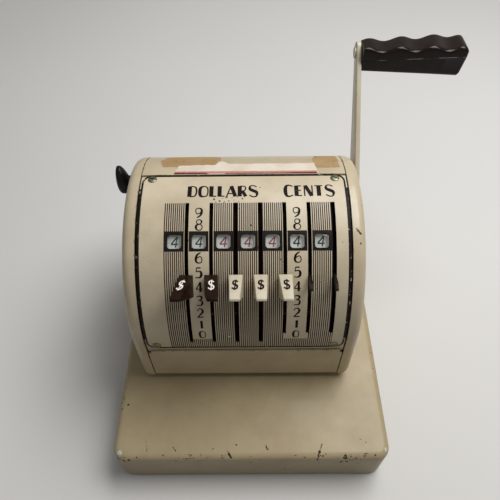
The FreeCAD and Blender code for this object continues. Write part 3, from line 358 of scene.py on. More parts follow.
def merge(bm, other, matrix=Matrix.Identity(4)):
    """Takes another bmesh in, moved by a matrix, and frees it."""
    bmesh.ops.transform(other, matrix=matrix, verts=other.verts)
    mesh = bpy.data.meshes.new("part")
    other.to_mesh(mesh)
    other.free()
    bm.from_mesh(mesh)
    bpy.data.meshes.remove(mesh)


# ------------------------------------------------------------------ pen strokes

# A glyph is a list of strokes in a box one high; a stroke is (x, y, pen width) points.
THICK = 0.22
THIN = 0.085

DIGITS = {
    0: [[(.31, 1, THIN), (.06, .96, THICK * .8), (.02, .5, THICK), (.06, .04, THICK * .8), (.31, 0, THIN),
           (.56, .04, THIN), (.6, .5, THIN), (.56, .96, THIN), (.31, 1, THIN)]],
    1: [[(.3, 1, THICK), (.3, 0, THICK)], [(.3, .98, THIN), (.16, .84, THIN)]],
    2: [[(.05, .78, THIN), (.1, 1.02, THIN), (.5, 1.06, THIN * 1.4), (.6, .66, THICK), (.36, .4, THIN * 1.6),
           (.03, .04, THIN)], [(.02, .05, THICK * .55), (.62, .05, THICK * .55)]],
    3: [[(.08, .93, THIN), (.4, 1.05, THIN), (.6, .86, THICK), (.5, .58, THIN), (.25, .54, THIN)],
          [(.25, .54, THIN), (.6, .54, THIN), (.62, .2, THICK), (.48, -.06, THIN), (.04, .02, THIN)]],
    4: [[(.44, 1, THICK * .9), (.44, 0, THICK * .9)], [(.44, 1, THIN), (.02, .3, THIN)],
          [(.02, .29, THIN), (.64, .29, THIN)]],
    5: [[(.56, .96, THICK * .5), (.16, .96, THICK * .5)], [(.16, .96, THIN), (.12, .56, THIN)],
          [(.12, .56, THIN), (.42, .7, THIN), (.64, .5, THICK), (.6, .1, THICK), (.34, -.04, THIN),
           (.04, .03, THIN)]],
    6: [[(.5, 1.0, THIN), (.18, .86, THICK * .7), (.02, .5, THICK), (.02, .1, THICK * .8), (.3, -.04, THIN),
           (.6, .06, THIN), (.62, .36, THIN), (.52, .6, THIN), (.3, .6, THIN), (.1, .42, THIN)]],
    8: [[(.31, .56, THIN), (.1, .62, THIN), (.04, .8, THIN), (.14, 1.02, THIN), (.48, 1.02, THIN),
           (.58, .8, THICK * .8), (.5, .62, THIN), (.31, .56, THIN)],
          [(.31, .56, THIN), (.04, .5, THICK * .8), (0, .2, THICK), (.12, -.04, THIN), (.5, -.04, THIN),
           (.64, .2, THIN), (.58, .5, THIN), (.31, .56, THIN)]],
    9: [[(.12, 0, THIN), (.44, .14, THICK * .7), (.6, .5, THICK), (.6, .9, THICK * .8), (.32, 1.04, THIN),
           (.02, .94, THIN), (0, .64, THIN), (.1, .4, THIN), (.32, .4, THIN), (.52, .58, THIN)]],
}
LETTERS = {
    "A": [[(.33, 1, THIN), (.0, 0, THIN)], [(.34, 1, THICK * 1.1), (.66, 0, THICK * 1.1)],
          [(.12, .27, THIN), (.56, .27, THIN)]],
    "C": [[(.62, .9, THIN), (.5, 1.02, THIN), (.16, 1.04, THICK * .7), (.06, .72, THICK * 1.1),
           (.06, .28, THICK * 1.1), (.16, -.04, THICK * .7), (.5, -.02, THIN), (.62, .1, THIN)]],
    "D": [[(.1, 1, THICK * 1.2), (.1, 0, THICK * 1.2)],
          [(.1, .97, THIN), (.46, 1.02, THIN), (.62, .76, THIN * 1.3), (.62, .24, THIN * 1.3),
           (.46, -.02, THIN), (.1, .03, THIN)]],
    "E": [[(.1, 1, THICK * 1.2), (.1, 0, THICK * 1.2)], [(.1, .965, THIN), (.48, .965, THIN)],
          [(.1, .52, THIN), (.44, .52, THIN)], [(.1, .035, THIN), (.5, .035, THIN)]],
    "L": [[(.1, 1, THICK * 1.2), (.1, 0, THICK * 1.2)], [(.1, .035, THIN), (.48, .035, THIN)]],
    "N": [[(.04, 0, THIN), (.04, 1, THIN)], [(.1, 1, THICK * 1.1), (.56, 0, THICK * 1.1)],
          [(.62, 0, THIN), (.62, 1, THIN)]],
    "O": [[(.33, 1, THIN), (.08, .95, THICK * .9), (.02, .5, THICK), (.08, .05, THICK * .9), (.33, 0, THIN),
           (.6, .05, THIN), (.66, .5, THIN), (.6, .95, THIN), (.33, 1, THIN)]],
    "R": [[(.1, 1, THICK * 1.2), (.1, 0, THICK * 1.2)],
          [(.1, .97, THIN), (.46, 1.03, THIN), (.58, .76, THIN), (.46, .5, THIN), (.16, .5, THIN)],
          [(.3, .5, THICK), (.56, 0, THICK)]],
    "S": [[(.56, .88, THIN), (.42, 1.05, THIN), (.06, 1.02, THIN), (.04, .66, THICK), (.34, .52, THICK * 1.1),
           (.62, .36, THICK), (.56, -.04, THIN), (.2, -.05, THIN), (.02, .12, THIN)]],
    "T": [[(.29, 1, THICK * 1.2), (.29, 0, THICK * 1.2)], [(.0, .965, THIN), (.58, .965, THIN)]],
}
SIGN = [[(.58, .86, .15), (.46, 1.02, .14), (.02, 1.02, .15), (.04, .62, .19), (.33, .5, .2), (.64, .36, .19),
         (.58, -.04, .15), (.14, -.04, .14), (.0, .14, .15)], [(.33, 1.18, .12), (.33, -.18, .12)]]
# the plain slanted figures of the number bands, drawn with one pen
BAND_DIGITS = {
    0: [[(.3, 1), (.02, .95), (.0, .5), (.02, .05), (.3, 0), (.58, .05), (.6, .5), (.58, .95), (.3, 1)]],
    1: [[(.1, .8), (.34, 1)], [(.34, 1), (.34, 0)]],
    2: [[(.04, .8), (.1, 1.04), (.56, 1.06), (.6, .62), (.3, .36), (.02, .02)], [(.02, .02), (.62, .02)]],
    3: [[(.06, .96), (.4, 1.08), (.62, .8), (.46, .54), (.24, .54)],
          [(.24, .54), (.56, .54), (.66, .2), (.4, -.08), (.02, .04)]],
    4: [[(.48, 0), (.48, 1)], [(.48, 1), (.0, .3)], [(.0, .3), (.68, .3)]],
    5: [[(.58, 1), (.14, 1)], [(.14, 1), (.08, .56)],
        [(.08, .56), (.5, .72), (.68, .3), (.42, -.08), (.02, .06)]],
    6: [[(.5, 1), (.14, .8), (-.02, .36), (.1, -.04), (.5, -.04), (.62, .3), (.4, .62), (.06, .42)]],
    7: [[(.02, 1), (.62, 1)], [(.62, 1), (.22, 0)]],
    8: [[(.31, .54), (.04, .64), (.08, 1.02), (.54, 1.02), (.58, .64), (.31, .54)],
          [(.31, .54), (-.04, .42), (.04, -.04), (.58, -.04), (.66, .42), (.31, .54)]],
    9: [[(.12, 0), (.48, .2), (.64, .64), (.52, 1.04), (.12, 1.04), (0, .7), (.22, .38), (.56, .58)]],
}

INK_DEPTH = 0.05


def ink(strokes, height, pen=None, slant=0.0, bold=1.0):
    """A glyph as a flat bmesh of ribbons: each stroke is a curve with its own width along it."""
    curve = bpy.data.curves.new("stroke", "CURVE")
    curve.dimensions = "3D"
    curve.bevel_depth = 1.0
    curve.bevel_resolution = 0
    curve.use_fill_caps = True
    for stroke in strokes:
        straight = len(stroke) == 2
        spline = curve.splines.new("POLY" if straight else "NURBS")
        spline.points.add(len(stroke) - 1)
        for target, point in zip(spline.points, stroke):
            x, y = point[:2]
            target.co = ((x + slant * y) * height, y * height, 0, 1)
            target.radius = (pen or point[2]) * height / 2 * bold
        if not straight:
            spline.order_u = 3
            spline.use_endpoint_u = True
            spline.resolution_u = 4
    holder = bpy.data.objects.new("stroke", curve)
    mesh = bpy.data.meshes.new_from_object(holder)
    bm = bmesh.new()
    bm.from_mesh(mesh)
    # pressed flat: a thin stroke is squeezed to the ink's depth, and a thick one is cut off there
    bmesh.ops.scale(bm, vec=(1, 1, INK_DEPTH / (0.1 * height)), verts=bm.verts)
    for vert in bm.verts:
        vert.co.z = max(-INK_DEPTH, min(INK_DEPTH, vert.co.z))
    outward(bm)
    bpy.data.objects.remove(holder)
    bpy.data.curves.remove(curve)
    bpy.data.meshes.remove(mesh)
    return bm


def width_of(strokes, height):
    """Where a glyph starts and ends in x, its pen's width included."""
    points = [point for stroke in strokes for point in stroke]
    edges = [point[0] + side * sum(point[2:]) / 2 for point in points for side in (-1, 1)]
    return min(edges) * height, max(edges) * height


def print_on_drum(bm, glyph, x, angle, radius=RADIUS, lift=0.06, rim=lambda turn: 0.0):
    """Lays a flat glyph on the drum, or on a rim over it, with its lower left corner at x and angle."""
    slice_at(glyph, Y, spread(*extent(glyph, Y), 1.6))
    for vert in glyph.verts:
        turn = angle + math.degrees(vert.co.y / radius)
        vert.co = drum_point(x + vert.co.x, radius + rim(turn) + lift + vert.co.z, turn)
    merge(bm, glyph)


# ------------------------------------------------------------------ nodes

# the Object output of a Texture Coordinate node, and the Normal output of a Geometry node
OBJECT_OUTPUT = 3
NORMAL_OUTPUT = 1


def add(tree, kind, *inputs, out=0, **settings):
    """Adds a node with its settings, joins or sets its enabled inputs in order, and returns an output."""
    node = tree.nodes.new("ShaderNode" + kind)
    for name, value in settings.items():
        setattr(node, name, value)
    enabled = [socket for socket in node.inputs if socket.enabled]
    for socket, value in zip(enabled, inputs):
        if isinstance(value, bpy.types.NodeSocket):
            tree.links.new(value, socket)
        elif value is not None:
            socket.default_value = value
    return [socket for socket in node.outputs if socket.enabled][out]


def empty_tree(owner, output):
    """Clears the nodes of a material or a world, and returns its tree and the socket that shows."""
    owner.use_nodes = True
    tree = owner.node_tree
    tree.nodes.clear()
    return tree, tree.nodes.new(output).inputs["Surface"]


def start_material(name, **values):
    """A material of one Principled shader, its constants set on the shader's own sockets."""
    material = bpy.data.materials.new(name)
    tree, surface = empty_tree(material, "ShaderNodeOutputMaterial")
    shader = tree.nodes.new("ShaderNodeBsdfPrincipled")
    tree.links.new(shader.outputs[0], surface)
    for socket, value in values.items():
        shader.inputs[socket.replace("_", " ")].default_value = value
    return material, tree, shader, add(tree, "TexCoord", out=OBJECT_OUTPUT)


def end_material(material, shader, base, rough=None, bump=None, depth=0.0, strength=0.0, shine=None):
    """Joins what varies over the surface to the shader. A bump's depth is in metres."""
    tree = material.node_tree
    for value, socket in ((base, "Base Color"), (rough, "Roughness"), (shine, "Specular IOR Level")):
        if value is not None:
            tree.links.new(value, shader.inputs[socket])
    if bump is not None:
        tree.links.new(add(tree, "Bump", strength, depth, None, bump), shader.inputs["Normal"])
    return material


def grain(tree, where, scale, detail, rough, low, high, start=0.0, end=1.0):
    """Noise of that many features a metre, which runs from start to end between low and high."""
    value = add(tree, "TexNoise", where, scale, detail, rough)
    return add(tree, "MapRange", value, low, high, start, end)


def clouded(tree, where, scale, detail, rough, low, high, base, deep):
    """A colour that goes over to a deeper one in clouds."""
    return add(tree, "Mix", grain(tree, where, scale, detail, rough, low, high), tone(base), tone(deep),
               data_type="RGBA")


def looked_at(tree):
    """1 for rays that look at the backdrop, also by glass or gloss, and 0 for those that light."""
    ray = add(tree, "LightPath").node
    seen = add(tree, "Math", ray.outputs["Is Camera Ray"], ray.outputs["Is Transmission Ray"],
               operation="MAXIMUM")
    return add(tree, "Math", seen, ray.outputs["Is Glossy Ray"], operation="MAXIMUM")


# ------------------------------------------------------------------ wear

def scratch(start, end, radius, spots):
    """Small round spots in a row: their torn outlines run together into one scratch."""
    start, end = Vector(start), Vector(end)
    return [(start.lerp(end, index / (spots - 1)), radius) for index in range(spots)]


# each start, end, radius and number of spots, along the pan's top edge
BASE_SCRATCHES = (
    ((60.9, -124.1, 49.0), (58.2, -130.6, 49.0), 0.5, 6),
    ((58.2, -130.6, 49.0), (56.2, -135.6, 45.2), 1.1, 5),
    ((77.1, -136.0, 38.6), (80.2, -133.4, 48.0), 1.3, 6),
    ((80.4, -133.4, 48.0), (82.1, -136.0, 39.5), 1.3, 5),
    ((57.0, -132.6, 48.4), (61.0, -133.4, 47.9), 0.8, 3),
    ((12.8, -125.1, 49.0), (13.8, -127.8, 49.0), 0.8, 3),
    ((-67.2, -126.0, 49.0), (-64.9, -128.9, 49.0), 0.5, 4),
    ((-91.7, -118.3, 49.0), (-89.6, -129.0, 49.0), 0.34, 11),
    ((-20.1, -129.6, 49.0), (-17.3, -134.2, 47.3), 1.1, 5),
    ((-58.2, -134.9, 46.5), (-49.1, -134.4, 47.1), 0.5, 7),
    ((-118.1, -125.4, 48.6), (-116.5, -130.2, 48.6), 1.0, 4))
# the chips: each its place and radius
BASE_CHIPS = [spot for row in BASE_SCRATCHES for spot in scratch(*row)] + [
    ((-117.6, -132.0, 46.7), 2.1), ((-115.0, -134.6, 43.6), 2.1), ((-109.6, -135.7, 44.9), 1.2),
    ((-104.8, -135.2, 46.0), 1.0), ((-98.2, -133.7, 47.7), 1.1), ((-111.2, -88.0, 49.0), 0.9),
    ((-13.0, -124.1, 49.0), 0.7), ((-33.0, -127.5, 49.0), 0.6), ((-1.0, -136.0, 39.2), 1.1),
    ((94.4, -120.2, 49.0), 0.5), ((99.1, -122.7, 49.0), 0.6), ((105.8, -133.2, 48.0), 0.9),
    ((93.0, -136.0, 34.4), 0.8), ((-75.3, -132.3, 48.5), 0.8), ((-42.6, -132.1, 48.6), 0.6),
    ((116.0, -131.0, 48.4), 1.2), ((118.2, -128.2, 47.4), 1.2), ((30.0, -136.0, 20.0), 0.9)]
# where the same knocks went down to bright steel
BASE_BRIGHT = (((-113.2, -131.0, 48.9), 2.6), ((116.4, -128.8, 48.9), 2.2))
COVER_CHIPS = (
    ((84.2, -9.2, 197.2), 1.6), ((85.6, -10.8, 196.2), 1.1), ((83.0, -7.6, 198.2), 0.8),
    ((85.8, -17.4, 192.2), 0.8), ((87.5, -47.3, 162.4), 0.8), ((88.3, -52.0, 156.0), 0.7),
    ((-95.0, -13.0, 193.0), 0.8), ((-92.5, -12.0, 194.5), 0.7), ((88.9, -58.0, 96.0), 1.0),
    ((90.2, -60.0, 66.0), 1.0))
# on the face, each by its x, angle and radius
PLATE_CHIPS = [(drum_point(x, RADIUS, turn), radius) for x, turn, radius in (
    (-27.6, 79.3, 0.8), (-21.0, 79.9, 0.5), (-17.8, 80.7, 1.1), (-13.5, 80.2, 0.6), (-9.4, 80.7, 0.8),
    (8.9, 86.2, 0.6), (-26.2, 77.9, 0.6), (-23.4, 78.4, 0.8), (-19.6, 77.8, 0.9), (-15.9, 78.5, 0.7),
    (-12.1, 78.9, 0.9), (-8.2, 78.0, 0.5), (-5.4, 79.6, 0.6), (1.5, 66.0, 0.6), (23.8, 50.2, 0.6))]


def torn_spots(tree, where, spots):
    """A mask for each place: noise breaks up its radius, so it has a torn outline."""
    ragged = add(tree, "TexNoise", where, 420.0, 3.0, 0.65)
    for point, radius in spots:
        away = add(tree, "VectorMath", where, tuple(Vector(point) * MM), operation="DISTANCE")
        torn = add(tree, "Math", ragged, radius * MM * 3.2, radius * MM * -0.7, operation="MULTIPLY_ADD")
        yield add(tree, "Math", away, torn, operation="LESS_THAN")


def scuffed_pan(tree, where, mask):
    """More chips along the pan's bent top edge, in clusters, and fine upright scratches down its front."""
    height = add(tree, "SeparateXYZ", where, out=Z)
    on_bend = add(tree, "Math", height, 0.0443, 0.0045, operation="COMPARE")
    cluster = grain(tree, where, 34.0, 2.0, 0.5, 0.42, 0.62)
    ragged = add(tree, "TexNoise", where, 300.0, 5.0, 0.75)
    value = add(tree, "Math", cluster, 0.07, ragged, operation="MULTIPLY_ADD")
    torn = add(tree, "MapRange", value, 0.662, 0.672, 0.0, 1.0)
    bent = add(tree, "Math", torn, on_bend, operation="MULTIPLY")
    mask = add(tree, "Math", bent, mask, operation="MAXIMUM")
    drawn = add(tree, "Mapping", where, None, None, (1.0, 1.0, 0.07))
    lines = grain(tree, drawn, 620.0, 2.0, 0.6, 0.745, 0.76, 0.0, 0.75)
    below = add(tree, "Math", height, 0.0445, operation="LESS_THAN")
    return add(tree, "Math", add(tree, "Math", lines, below, operation="MULTIPLY"), mask, operation="MAXIMUM")


def worn_paint(tree, where, base, deep, chips=(), edge=0.0009, wear=0.56, pins=0.805):
    """Paint, yellowed in broad patches, and the mask of its chips: at edges, pinholes and given places."""
    paint = clouded(tree, where, 22.0, 3.0, 0.6, 0.35, 0.75, base, deep)
    cloudy = grain(tree, where, 75.0, 4.0, 0.6, 0.3, 0.7, 0.94, 1.03)
    shade = add(tree, "CombineColor", cloudy, cloudy, cloudy)
    paint = add(tree, "Mix", 1.0, paint, shade, data_type="RGBA", blend_type="MULTIPLY")
    # an edge is where a rounded normal leaves the surface's own
    rounded = add(tree, "Bevel", edge, samples=4)
    own = add(tree, "NewGeometry", out=NORMAL_OUTPUT)
    near_edge = add(tree, "MapRange", add(tree, "VectorMath", rounded, own, operation="DOT_PRODUCT"),
                    0.995, 0.93, 0.0, 1.0)
    bite = grain(tree, where, 130.0, 4.0, 0.7, wear, wear + 0.03)
    mask = add(tree, "Math", near_edge, bite, operation="MULTIPLY")
    for spot in (grain(tree, where, 520.0, 1.0, 0.4, pins, pins + 0.01), *torn_spots(tree, where, chips)):
        mask = add(tree, "Math", mask, spot, operation="MAXIMUM")
    return paint, mask


def chipped(tree, paint, mask):
    return add(tree, "Mix", mask, paint, tone("chip"), data_type="RGBA")


def orange_peel(tree, where, chip):
    """The faint peel of sprayed paint, 1.2 mm from crest to crest, with its chips sunk in."""
    peel = add(tree, "TexNoise", where, 820.0, 1.0, 0.4)
    return add(tree, "Math", chip, -1.5, peel, operation="MULTIPLY_ADD")


# ------------------------------------------------------------------ materials

def baked_enamel(name, base, deep, chips=(), wear=0.56, edge=0.0009, pins=0.805, gloss=0.5, coat=0.25,
                 pan=False):
    """Baked enamel on pressed steel: an even, half glossy skin with a faint orange peel, yellowed in
    broad patches and chipped to dark primer along its bends. The pan is scuffed and knocked as well."""
    material, tree, shader, where = start_material(
        name, IOR=1.5, Coat_Weight=coat, Coat_Roughness=0.1, Specular_IOR_Level=gloss)
    paint, chip = worn_paint(tree, where, base, deep, chips, edge, wear, pins)
    if pan:
        chip = scuffed_pan(tree, where, chip)
    paint = chipped(tree, paint, chip)
    if pan:
        for spot in torn_spots(tree, where, BASE_BRIGHT):
            paint = add(tree, "Mix", spot, paint, linear("#C4C6B8"), data_type="RGBA")
    rough = add(tree, "Math", chip, 0.35, grain(tree, where, 60.0, 4.0, 0.6, 0.3, 0.7, 0.34, 0.5),
                operation="MULTIPLY_ADD")
    return end_material(material, shader, paint, rough, orange_peel(tree, where, chip), 0.00006, 0.22)


def drum_coordinates(tree, where):
    """x in millimetres and the drum angle in degrees of a point on the face, from its object coordinates."""
    parts = add(tree, "SeparateXYZ", where).node.outputs
    forward = add(tree, "Math", DRUM.y * MM, parts["Y"], operation="SUBTRACT")
    upward = add(tree, "Math", parts["Z"], DRUM.z * MM, operation="SUBTRACT")
    turn = add(tree, "Math", upward, forward, operation="ARCTAN2")
    across = add(tree, "Math", parts["X"], 1 / MM, operation="MULTIPLY")
    return across, add(tree, "Math", turn, 180 / math.pi, operation="MULTIPLY")


def patch(tree, across, angle, span, turns):
    """1 inside a rectangle of the face, given by two places in x and two angles."""
    sides = [add(tree, "Math", value, (low + high) / 2, (high - low) / 2, operation="COMPARE")
             for value, (low, high) in ((across, span), (angle, turns))]
    return add(tree, "Math", *sides, operation="MULTIPLY")


def plate_lines(tree, across, angle):
    """The printed lines: over the full height of the columns, but not in those of printed digits."""
    first = SLOTS[1] - PITCH + 1.5
    field = patch(tree, across, angle, (first, SLOTS[7] + 1.6), (ZERO_ANGLE - DIGIT_STEP - 4.6, 77.4))
    for column in PLAIN:
        clear = patch(tree, across, angle, (SLOTS[column] - PITCH, SLOTS[column]), (ZERO_ANGLE - 4.2, 80.0))
        field = add(tree, "Math", field, clear, operation="SUBTRACT")
    step = add(tree, "Math", add(tree, "Math", across, -first, operation="ADD"), 1 / sizes().stripe_pitch,
               operation="MULTIPLY")
    line = add(tree, "Math", add(tree, "Math", step, operation="FRACT"), 0.54, operation="LESS_THAN")
    return add(tree, "Math", line, field, operation="MULTIPLY")


def plate_border(tree, across, angle):
    """The printed border, which follows the plate's edge and its rounded corners."""
    corner = sizes().plate_corner
    low_x, high_x = plate_span()
    # the distance from a rounded rectangle, worked out for its upper right quarter
    middle = ((low_x + high_x) / 2, arc(PLATE_FOOT + PLATE_TOP) / 2, 0.0)
    inner = ((high_x - low_x) / 2 - corner, arc(PLATE_TOP - PLATE_FOOT) / 2 - 0.6 - corner, 0.0)
    flat = add(tree, "CombineXYZ", across, add(tree, "Math", angle, arc(1), operation="MULTIPLY"))
    out = add(tree, "VectorMath", flat, middle, operation="SUBTRACT")
    out = add(tree, "VectorMath", out, operation="ABSOLUTE")
    out = add(tree, "VectorMath", out, inner, operation="SUBTRACT")
    beyond = add(tree, "VectorMath", out, (0.0, 0.0, 0.0), operation="MAXIMUM")
    beyond = add(tree, "VectorMath", beyond, operation="LENGTH")
    parts = add(tree, "SeparateXYZ", out).node.outputs
    inside = add(tree, "Math", parts["X"], parts["Y"], operation="MAXIMUM")
    inside = add(tree, "Math", inside, 0.0, operation="MINIMUM")
    distance = add(tree, "Math", beyond, inside, operation="ADD")
    return add(tree, "Math", distance, corner - sizes().border, operation="GREATER_THAN")


def printed_plate(name):
    """The face plate: painted sheet with silk-screened lines 1.6 mm apart and a dark border, rubbed
    through in places. The screened ink is matt beside the paint."""
    material, tree, shader, where = start_material(name, IOR=1.5, Coat_Weight=0.06, Coat_Roughness=0.25)
    paint, chip = worn_paint(tree, where, "plate", "plate_deep", PLATE_CHIPS, 0.0005, 0.6)
    paint = chipped(tree, paint, chip)
    place = drum_coordinates(tree, where)
    kept_lines = grain(tree, where, 170.0, 3.0, 0.7, 0.70, 0.71, 1.0, 0.0)
    kept_border = grain(tree, where, 300.0, 4.0, 0.75, 0.635, 0.65, 1.0, 0.0)
    lines = add(tree, "Math", plate_lines(tree, *place), kept_lines, operation="MULTIPLY")
    border = add(tree, "Math", plate_border(tree, *place), kept_border, operation="MULTIPLY")
    paint = add(tree, "Mix", lines, paint, tone("stripe_ink"), data_type="RGBA")
    paint = add(tree, "Mix", border, paint, tone("print_ink"), data_type="RGBA")
    inked = add(tree, "Math", lines, border, operation="MAXIMUM")
    rough = add(tree, "Math", inked, 0.12, grain(tree, where, 60.0, 4.0, 0.6, 0.3, 0.7, 0.36, 0.5),
                operation="MULTIPLY_ADD")
    shine = add(tree, "MapRange", inked, 0.0, 1.0, 0.5, 0.1)
    return end_material(material, shader, paint, rough, orange_peel(tree, where, chip), 0.00005, 0.2, shine)


def panel_with_painted_shade(name):
    """The panel behind the face plate: the plate's enamel, with painted shade on the strip that shows beside
    the plate: a dark band, in the print ink's colour, for the shade in the gap between plate and cover,
    broken up in places. At its corners it stays bare."""
    material, tree, shader, where = start_material(name, IOR=1.5, Coat_Weight=0.06, Coat_Roughness=0.25)
    paint = chipped(tree, *worn_paint(tree, where, "plate", "plate_deep"))
    across, angle = drum_coordinates(tree, where)
    low_x, high_x = plate_span()
    aside = add(tree, "Math", across, (low_x + high_x) / 2, operation="SUBTRACT")
    aside = add(tree, "Math", aside, operation="ABSOLUTE")
    # painted shade: a dark band on the strip beside the plate's sides, for the gap to the cover
    beside = add(tree, "Math", aside, (high_x - low_x) / 2 - 1.0, operation="GREATER_THAN")
    along = add(tree, "Math", angle, 46.0, 40.5, operation="COMPARE")
    border = add(tree, "Math", beside, along, operation="MULTIPLY")
    border = add(tree, "Math", border, grain(tree, where, 260.0, 4.0, 0.75, 0.6, 0.62, 1.0, 0.0),
                 operation="MULTIPLY")
    # the painted shade takes the print ink's colour
    paint = add(tree, "Mix", border, paint, tone("print_ink"), data_type="RGBA")
    rough = add(tree, "Math", border, 0.12, 0.42, operation="MULTIPLY_ADD")
    shine = add(tree, "MapRange", border, 0.0, 1.0, 0.5, 0.1)
    return end_material(material, shader, paint, rough, shine=shine)


def printing_ink(name, ink_tone, wear=0.8):
    """Screen-printed ink: matt, solid, with pinholes where it has worn off to the paint."""
    material, tree, shader, where = start_material(name, IOR=1.48, Roughness=0.65, Specular_IOR_Level=0.1)
    base = clouded(tree, where, 420.0, 4.0, 0.7, wear, wear + 0.02, ink_tone, "plate")
    rough = grain(tree, where, 900.0, 2.0, 0.5, 0.3, 0.7, 0.48, 0.62)
    return end_material(material, shader, base, rough)


def moulded(name, base, deep, roughness=0.25, ior=1.5, coat=0.0, dusty=0.25, gloss=0.5):
    """Moulded plastic or Bakelite, or paint as smooth: glossy, faintly cloudy, with dust in specks 3 mm
    across, and rubbed dull in spots 7 mm across."""
    material, tree, shader, where = start_material(
        name, IOR=ior, Coat_Weight=coat, Coat_Roughness=0.12, Specular_IOR_Level=gloss)
    base = clouded(tree, where, 90.0, 4.0, 0.6, 0.35, 0.75, base, deep)
    dust = grain(tree, where, 300.0, 4.0, 0.7, 0.6, 0.8, 0.0, dusty)
    base = add(tree, "Mix", dust, base, linear("#8A7A66"), data_type="RGBA")
    rough = grain(tree, where, 140.0, 4.0, 0.7, 0.3, 0.75, roughness * 0.75, roughness * 1.7)
    ripple = add(tree, "TexNoise", where, 160.0, 2.0, 0.5)
    return end_material(material, shader, base, rough, ripple, 0.00025, 0.2)


def metal(name, base, deep, roughness, stretch, stain="#4A3B2A", amount=0.3):
    """Machined or rolled metal: tool marks 1 mm apart drawn out along the grain, with tarnish. Real
    marks are finer, and wouldn't show."""
    material, tree, shader, where = start_material(name, Metallic=1.0)
    drawn = add(tree, "Mapping", where, None, None, stretch)
    marks = add(tree, "TexNoise", drawn, 900.0, 3.0, 0.6)
    base = clouded(tree, where, 80.0, 4.0, 0.65, 0.35, 0.7, base, deep)
    tarnish = grain(tree, where, 140.0, 5.0, 0.7, 0.52, 0.75, 0.0, amount)
    base = add(tree, "Mix", tarnish, base, linear(stain), data_type="RGBA")
    rough = add(tree, "MapRange", marks, 0.3, 0.7, roughness * 0.8, roughness * 1.3)
    return end_material(material, shader, base, rough, marks, 0.00003, 0.35)


def segment_steel_with_painted_shade(name, shade_ends_at):
    """Dark steel of the selector segments: painted shade darkens it below the plate, and the tab over it is
    lighter.
    """
    material, tree, shader, where = start_material(name, Metallic=1.0)
    parts = add(tree, "VectorMath", where, (0.0, -DRUM.y * MM, -DRUM.z * MM), operation="ADD")
    flat = add(tree, "VectorMath", parts, (0.0, 1.0, 1.0), operation="MULTIPLY")
    height = add(tree, "VectorMath", flat, operation="LENGTH")
    marks = add(tree, "TexNoise", where, 300.0, 3.0, 0.6)
    edge = add(tree, "Math", marks, 0.002, height, operation="MULTIPLY_ADD")
    # painted shade: the steel turns darker below the plate's underside, where the slots are in shade
    bare = add(tree, "MapRange", edge, shade_ends_at * MM, (shade_ends_at + 1.5) * MM, 0.0, 1.0)
    base = add(tree, "Mix", bare, linear("#17130F"), linear("#2B2721"), data_type="RGBA")
    rough = add(tree, "MapRange", marks, 0.3, 0.7, 0.36, 0.56)
    return end_material(material, shader, base, rough, marks, 0.00004, 0.3)


def clear_acrylic(name):
    """Thin clear acrylic: light passes straight through and the surface keeps a hazy reflection."""
    material = bpy.data.materials.new(name)
    tree, surface = empty_tree(material, "ShaderNodeOutputMaterial")
    where = add(tree, "TexCoord", out=OBJECT_OUTPUT)
    through = add(tree, "BsdfTransparent", linear("#FFFFFF"))
    haze = grain(tree, where, 260.0, 4.0, 0.7, 0.35, 0.8, 0.03, 0.2)
    gloss = add(tree, "BsdfGlossy", linear("#FFFFFF"), haze)
    share = add(tree, "MapRange", add(tree, "Fresnel", 1.49), 0.0, 1.0, 0.01, 0.5)
    tree.links.new(add(tree, "MixShader", share, through, gloss), surface)
    return material


def paper(name, base, deep, spot="#8D6A45", spots=0.72):
    """Old paper: matt, yellowed in clouds, with brown foxing and a soft fibre bump 0.4 mm across."""
    material, tree, shader, where = start_material(name, IOR=1.45, Roughness=0.85)
    base = clouded(tree, where, 55.0, 4.0, 0.6, 0.35, 0.7, base, deep)
    fox = grain(tree, where, 190.0, 4.0, 0.7, spots, spots + 0.08, 0.0, 0.75)
    base = add(tree, "Mix", fox, base, linear(spot), data_type="RGBA")
    fibre = add(tree, "TexNoise", where, 2500.0, 2.0, 0.5)
    return end_material(material, shader, base, None, fibre, 0.00005, 0.3)


def rubber(name):
    """Black vulcanised rubber: dull, with grey bloom in patches and dust in its skin."""
    material, tree, shader, where = start_material(name, IOR=1.52, Roughness=0.8)
    base = clouded(tree, where, 160.0, 4.0, 0.65, 0.4, 0.7, "#191817", "#34322F")
    skin = add(tree, "TexNoise", where, 1600.0, 2.0, 0.5)
    return end_material(material, shader, base, None, skin, 0.00008, 0.4)


def felt(name):
    """Wool felt soaked with red-black ink: rough fibres 0.5 mm long, lighter where they stand up."""
    material, tree, shader, where = start_material(name, IOR=1.45, Roughness=0.95, Sheen_Weight=0.3)
    base = clouded(tree, where, 1400.0, 3.0, 0.6, 0.35, 0.65, "#2B1016", "#4E1C26")
    fibre = add(tree, "TexNoise", where, 1900.0, 4.0, 0.7)
    return end_material(material, shader, base, None, fibre, 0.0003, 0.6)


def table_top(name):
    """A plain matt pale table: near-even, with a very faint tone so that it isn't dead flat. It looks
    pale and throws less light up at the object than such a table would."""
    material, tree, shader, where = start_material(name, Roughness=0.9, IOR=1.4, Specular_IOR_Level=0.2)
    seen = clouded(tree, where, 1.5, 2.0, 0.5, 0.3, 0.7, "floor", "#D8D6D2")
    base = add(tree, "Mix", looked_at(tree), linear("#8C8A86"), seen, data_type="RGBA")
    return end_material(material, shader, base)


